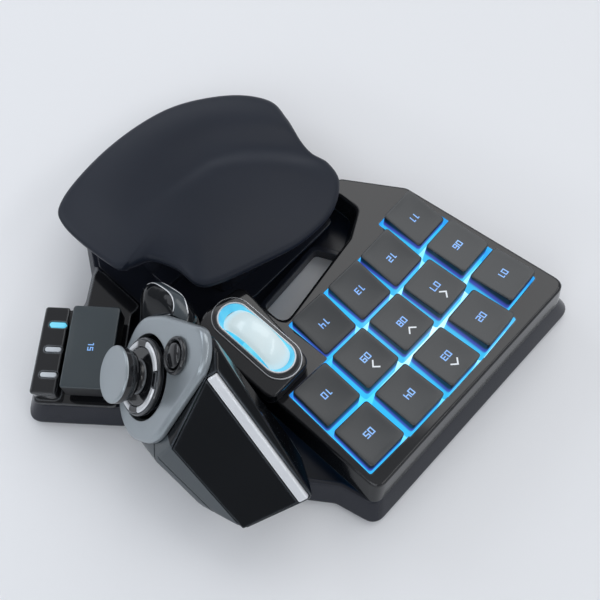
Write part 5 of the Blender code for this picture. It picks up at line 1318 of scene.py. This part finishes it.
def makeArcs():
    # a bright ring in four parts, with the pad's black lugs between them
    top, cut = stickLook["padStand"] + stickLook["grooveDepth"] / 2, stickLook["arcEdge"]
    section = [(grooveInner, grooveBed), (grooveOuter, grooveBed), (grooveOuter, top - cut), (grooveOuter - cut, top),
               (grooveInner + cut, top), (grooveInner, top - cut)]
    return ringParts(section, sweep * (1 - stickLook["arcShare"]) / 2, sweep * stickLook["arcShare"], 24)


def makeLugs():
    top = stickLook["padStand"] + stickLook["grooveDepth"] * stickLook["lugRise"]
    span = sweep * (1 - stickLook["arcShare"]) - stickLook["lugGap"]
    return ringParts(rect(grooveInner, grooveOuter, grooveBed, top), -span / 2, span, 8)


def makeCap():
    look, radius, top, collar = stickLook, stickLook["capRadius"], stickLook["capHeight"], stickLook["collar"]
    low, padTop, padLow = top - look["capThickness"], look["padStand"], look["padStand"] - look["padThickness"]
    footIn, footRise = look["capFoot"]
    # a waist on the post, flared up to a collar, and the cap above it
    profile = [(look["post"], padLow + gap * 2), (look["post"], padTop + gap)]
    profile += [(look["neck"] + out, padTop + rise) for out, rise in look["waist"]]
    profile += [(collar - less, padTop + rise) for less, rise in look["flare"]]
    profile += [(collar, low - look["collarEnd"]), (collar, low + gap), (radius - footIn, low + gap),
                (radius, low + footRise), *roundEdge(radius, top, look["capEdge"], 5)]
    profile += [(radius * share, top - look["capDish"] * (1 - share ** 2)) for share in look["capShares"]]
    mesh = meshOf(revolved(profile, look["steps"]))
    for face in mesh.polygons:
        face.material_index = 0 if face.center.z > top - look["inlay"] else 1
    return mesh


def makeButtonRing():
    look, depth, hole = buttonLook, -podLook["thickness"], buttonHole
    sleeve, middle, half = hole + look["sleeve"], (look["ring"] + hole) / 2, (look["ring"] - hole) / 2
    low, stand = gap + look["ringRise"], look["ringStand"]
    profile = [(hole, depth), (sleeve, depth), (sleeve, gap), (look["ring"], gap)]
    for step in range(9):
        angle = math.pi * step / 8
        profile.append((middle + half * math.cos(angle), low + stand * math.sin(angle)))
    return meshOf(revolved(profile, look["steps"], True))


def makeButton():
    look, radius, low = buttonLook, buttonLook["radius"], -podLook["thickness"] / 2
    profile = [(radius / 2, -look["foot"]), (radius / 2, low), (radius, low), (radius, look["side"])]
    for step in range(1, 9):
        angle = math.pi / 2 * step / 8 * look["domeShare"]
        profile.append((radius * math.cos(angle), look["side"] + look["dome"] * math.sin(angle)))
    return meshOf(revolved(profile, look["steps"]))


place("facePlateFine", makeFacePlate(), "base", "satinSilver", "pod_face_plate", faceFrame)
place("thumbPadFine", makePad(), "thumb_stick", "pianoBlack", "thumb_pad", faceFrame)
place("padArcs", makeArcs(), "thumb_stick", "silverPaint", "thumb_pad_ring", faceFrame)
place("padLugs", makeLugs(), "thumb_stick", "pianoBlack", "", faceFrame)
place("stickCapFine", makeCap(), "thumb_stick", "satinSilver pianoBlack", "thumbstick_cap", faceFrame)
buttonFrame = faceFrame @ Matrix.Translation((*buttonLook["at"], 0.0))
place("buttonRingFine", makeButtonRing(), "base", "pianoBlack", "thumb_button_ring", buttonFrame)
place("thumbButtonFine", makeButton(), "thumb_button", "pianoBlack", "thumb_button", buttonFrame)
print("thumb face moulded")


# wing: cover, state panel and lamps
wingLook = {
    "panelOffset": 0.0160, "panelWidth": 0.0092, "panelLength": 0.0340, "panelTop": 0.0200, "panelThickness": 0.0016,
    "lampLength": 0.0062, "lampWidth": 0.0020, "lampPitch": 0.0098, "lampRise": 0.0003, "edge": 0.0006,
    "corner": 0.0012, "railLow": 0.0043, "railDrop": 0.0013, "bore": 0.05,
    "lampEdge": ((0.0, 0.0004), (-0.0001, 0.00015), (-0.0003, 0.0)),
}
panelTop, panelUnder = wingLook["panelTop"], wingLook["panelTop"] - wingLook["panelThickness"]
lampLine = -wingLook["panelOffset"] + wingLook["panelWidth"] / 8
lampSpots = [(side * wingLook["lampPitch"], lampLine) for side in (-1, 0, 1)]


def lampBar(spot, grown=0.0):
    return oblong(wingLook["lampLength"] + grown * 2, wingLook["lampWidth"] + grown * 2, spot, 10)


def makeStatePanel():
    half, width, offset = wingLook["panelLength"] / 2, wingLook["panelWidth"] / 2, wingLook["panelOffset"]
    blank = plateShape(rect(-half, half, -offset - width, -offset + width), panelUnder, panelTop, wingLook["edge"],
                       wingLook["corner"])
    return worked(blank, cuts(*(prism(lampBar(spot, gap), 0.0, wingLook["bore"]) for spot in lampSpots)))


place("statePanelFine", makeStatePanel(), "base", "pianoBlack", "state_panel", wingWhere)
railHigh, railHalf = panelUnder - wingLook["railDrop"], wingLook["lampPitch"] + wingLook["lampWidth"]
railArea = rect(-railHalf, railHalf, lampLine - wingLook["lampWidth"] / 2, lampLine + wingLook["lampWidth"] / 2)
place("stateLightRail", meshOf(prism(railArea, panelTop - wingLook["railLow"], railHigh)), "base", "lampClear",
      "state_light_pipe", wingWhere)
for index, spot in enumerate(lampSpots):
    rings = [level(lampBar(spot), railHigh)]
    rings += [level(lampBar(spot, grown), panelTop + wingLook["lampRise"] - drop)
              for grown, drop in wingLook["lampEdge"]]
    place(f"stateLamp{index + 1}", meshOf(lofted(rings)), "base", "lampClear" if index else "lampOn",
          "", wingWhere)
print("wing panel moulded")


# palm rest
palmLook = {
    "left": 0.0456, "right": 0.0580, "front": 0.0446, "back": 0.1402, "rim": 0.0300, "slopeX": 0.148, "slopeY": 0.190,
    "crown": 0.0055, "crownFall": 0.80, "valley": 0.0050, "lip": 0.0030, "thickness": 0.0064, "steps": 10,
    "valleyStart": -0.10, "valleyLine": -0.17, "valleyBend": 1.15, "valleyNear": 0.12, "valleyOpen": 0.35,
    "valleyFar": 0.30, "valleyFade": 0.70, "edgeRound": 0.0016, "edgeSize": 0.052, "edgeReach": 1.6, "edgeDrop": 0.9,
    "topRings": 30, "topShare": 0.951, "topPower": 1.15,
    "under": ((0.30, 0.0), (0.60, 0.0), (0.86, 0.0), (0.93, 0.20), (0.97, 0.55)),
    "side": ((0.992, 1.05), (1.0, 0.80)),
    "outline": (
        (1.00, -0.52), (0.85, -0.77), (0.37, -0.95), (-0.12, -1.00), (-0.50, -0.92), (-0.85, -0.66), (-1.00, -0.35),
        (-0.93, -0.06), (-0.81, 0.22), (-0.76, 0.40), (-0.76, 0.59), (-0.66, 0.80), (-0.39, 0.97), (-0.04, 1.00),
        (0.31, 0.91), (0.62, 0.80), (0.72, 0.70), (0.72, 0.47), (0.79, 0.25), (0.92, 0.18), (1.00, 0.09),
    ),
}


def smoothLoop(corners, steps):
    points, count = [], len(corners)
    for index in range(count):
        a, b, c, d = (Vector(corners[(index + k) % count]) for k in (-1, 0, 1, 2))
        for step in range(steps):
            t = step / steps
            bend = (a * 2 - b * 5 + c * 4 - d) * t * t + (b * 3 - a - c * 3 + d) * t ** 3
            points.append((b * 2 + (c - a) * t + bend) / 2)
    return points


def palmSwell(u, v, s):
    look = palmLook
    # the crown follows the plain distance from the middle, so that the notches of the rim draw no creases
    crown = look["crown"] * max(0.0, 1 - look["crownFall"] * (u ** 2 + v ** 2)) * (1 - s ** 8)
    bend = max(0.0, -u + look["valleyStart"])
    line = look["valleyLine"] + look["valleyBend"] * bend ** 2
    width = look["valleyNear"] + look["valleyOpen"] * bend if v > line else look["valleyFar"]
    fade = max(0.0, min(1.0, (look["valleyFade"] - u) / (look["valleyFade"] + 1)))
    return crown - look["valley"] * fade * math.exp(-((v - line) / width) ** 2) * (1 - s ** 6)


def makePalmPad():
    look = palmLook
    thick, lip, edge, count = (look[part] for part in ("thickness", "lip", "edgeRound", "topRings"))
    # each ring's share of the outline, its height from the rim, and how far it follows the swell
    table = [(share, lip * rise - thick, 0) for share, rise in look["under"]]
    table += [(share, -lip * drop, 0) for share, drop in look["side"]]
    table += [(1 - edge / look["edgeSize"] * inward * look["edgeReach"], -edge * below * look["edgeDrop"], 1)
              for inward, below in quarter(8)]
    table += [(look["topShare"] * (1 - (k / count) ** look["topPower"]), 0.0, 1) for k in range(1, count)]
    unit, rings = smoothLoop(look["outline"], look["steps"]), []
    for s, rise, swelled in table:
        ring = []
        for u, v in (point * s for point in unit):
            x = (look["right"] - look["left"]) / 2 + u * (look["right"] + look["left"]) / 2
            y = -(look["front"] + look["back"]) / 2 + v * (look["back"] - look["front"]) / 2
            height = look["rim"] + look["slopeX"] * (x + look["left"]) + look["slopeY"] * (y + look["front"])
            ring.append(Vector((x, y, height + rise + swelled * palmSwell(u, v, s))))
        rings.append(ring)
    return meshOf(lofted(rings), 60.0)


palmPad = place("palmPadSoft", makePalmPad(), "palm_rest", "softTouch", "palm_pad", None, False)
print("palm rest moulded")


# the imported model's own nodes that stay
keptLook = {"weld": 0.00001, "flat": 1.5, "round": 0.0004, "segments": 2, "sharp": 32.0}


def softened(name, nodeName, finishName, body):
    # an even round on the edges of a copy of the node
    shape = shapeOf(bpy.data.objects[nodeName].data)
    bmesh.ops.remove_doubles(shape, verts=shape.verts, dist=keptLook["weld"])
    bmesh.ops.dissolve_limit(shape, angle_limit=math.radians(keptLook["flat"]), verts=shape.verts, edges=shape.edges)
    mesh = bpy.data.meshes.new(name)
    shape.to_mesh(mesh)
    shape.free()
    smoothed(mesh, 35.0).materials.append(made[finishName])
    piece = linked(name, mesh)
    addModifier(piece, "softEdges", "BEVEL", width=keptLook["round"], segments=keptLook["segments"],
                limit_method="ANGLE", angle_limit=math.radians(keptLook["sharp"]), harden_normals=True)
    dressed(piece, body, nodeName)


softened("wingCoverFine", "wing_cover", "pianoBlack", "base")
softened("palmTrackFine", "palm_track", "shellSatin", "base")
softened("palmLatchFine", "palm_latch", "shellSatin", "palm_latch")

keptFinishes = {
    "light_guide": "keyGlow", "main_board": "boardLaminate", "thumb_board": "boardLaminate",
    "dome_mat": "blackRubber", "thumb_key_dome": "blackRubber", "wheel_switch": "blackRubber",
    "cable_gland": "blackRubber", "rubber_foot": "blackRubber", "wheel_hub": "wheelHalo", "wheel_axle": "plainSteel",
    "gimbal_ring": "plainSteel", "case_screw": "plainSteel", "wheel_cradle": "shellSatin",
    "gimbal_cradle": "shellSatin", "palm_carrier": "shellSatin",
}
for nodeName in nodes:
    node = bpy.data.objects.get(nodeName)
    for start, finishName in keptFinishes.items():
        if nodeName.startswith(start) and node and not node.hide_render:
            node.data.materials.clear()
            node.data.materials.append(made[finishName])
print("kept nodes finished")


# floor, light and camera
stageLook = {
    "floor": {"Colour": (0.80, 0.81, 0.83), "Tint": (0.83, 0.84, 0.86), "Patch Scale": 3.0, "Grain Scale": 900.0,
              "Roughness": 0.8, "Roughness Spread": 0.1},
    "floorReach": 2.6, "floorSteps": 52, "floorSheen": 0.2, "worldStrength": 0.60,
    "worldLow": (0.50, 0.52, 0.56, 1.0), "worldHigh": (0.90, 0.92, 0.96, 1.0),
    "camera": (0.11124, 0.05123, 0.29350), "target": (0.0196, -0.0313, 0.029), "lens": 48.0, "roll": 0.7,
    "sensor": 36.0, "clipStart": 0.01,
}
# place from the middle of the model, size, power and colour of each light
lamps = {
    "softKey": ((-0.75, -0.25, 1.00), (1.10, 0.90), 4.9, (1.0, 1.0, 1.0)),
    "softFill": ((0.70, 0.30, 0.60), (0.60, 0.45), 1.0, (0.92, 0.96, 1.0)),
    "softRim": ((0.15, -0.80, 0.50), (0.80, 0.30), 1.8, (0.90, 0.94, 1.0)),
    "edgeStrip": ((-0.28, 0.60, 0.62), (1.00, 0.10), 1.3, (1.0, 1.0, 1.0)),
    "sideStrip": ((0.70, -0.05, 0.34), (1.30, 0.05), 0.9, (0.90, 0.95, 1.0)),
}


def facing(start, aim):
    return (aim - start).to_track_quat("-Z", "Y")


def makeFloor():
    shape, reach, steps = bmesh.new(), stageLook["floorReach"], stageLook["floorSteps"]
    marks = [-reach + 2 * reach * k / steps for k in range(steps + 1)]
    grid = [[shape.verts.new((x, y, 0.0)) for x in marks] for y in marks]
    for low, high in zip(grid, grid[1:]):
        for k in range(steps):
            shape.faces.new((low[k], low[k + 1], high[k + 1], high[k]))
    material = bpy.data.materials.new("paperFloor")
    material.use_nodes = True
    tree = material.node_tree
    known = {"shader": tree.nodes["Principled BSDF"], "grain": effect(tree, mouldedGrain, stageLook["floor"])}
    wired(tree, {}, ["grain.Colour > shader.Base Color", "grain.Roughness > shader.Roughness"], known)
    known["shader"].inputs["Specular IOR Level"].default_value = stageLook["floorSheen"]
    mesh = meshOf(shape)
    mesh.materials.append(material)
    linked("studioFloor", mesh)


def makeWorld():
    world = bpy.data.worlds.new("softRoom")
    world.use_nodes = True
    parts = {"where": whereNode, "split": ("SeparateXYZ", {}, {}), "ramp": ("ValToRGB", {}, {})}
    links = ["where.Generated > split.Vector", "split.Z > ramp.Fac", "ramp.Color > sky.Color"]
    found = wired(world.node_tree, parts, links, {"sky": world.node_tree.nodes["Background"]})
    for element, part in zip(found["ramp"].color_ramp.elements, ("worldLow", "worldHigh")):
        element.color = stageLook[part]
    found["sky"].inputs["Strength"].default_value = stageLook["worldStrength"]
    scene.world = world


def makeCamera():
    camera = bpy.data.cameras.new("photoView")
    camera.lens, camera.sensor_width = stageLook["lens"], stageLook["sensor"]
    camera.clip_start = stageLook["clipStart"]
    start, aim = Vector(stageLook["camera"]) + shift, Vector(stageLook["target"]) + shift
    scene.camera = linked("photoView", camera)
    scene.camera.matrix_world = (Matrix.Translation(start) @ facing(start, aim).to_matrix().to_4x4()
                                 @ Matrix.Rotation(math.radians(stageLook["roll"]), 4, "Z"))


def makeLights():
    middle = (cadBox[0] + cadBox[1]) / 2
    for name, (offset, size, power, colour) in lamps.items():
        light = bpy.data.lights.new(name, "AREA")
        light.shape, light.energy, light.color = "RECTANGLE", power, colour
        light.size, light.size_y = size
        lamp = linked(name, light)
        # offsets are from the middle, but heights are from the floor
        lamp.location = (middle.x + offset[0], middle.y + offset[1], offset[2])
        lamp.rotation_euler = facing(lamp.location, middle).to_euler()


makeFloor()
makeWorld()
makeCamera()
makeLights()
scene.view_settings.view_transform = "Standard"
print("floor, light and camera set")
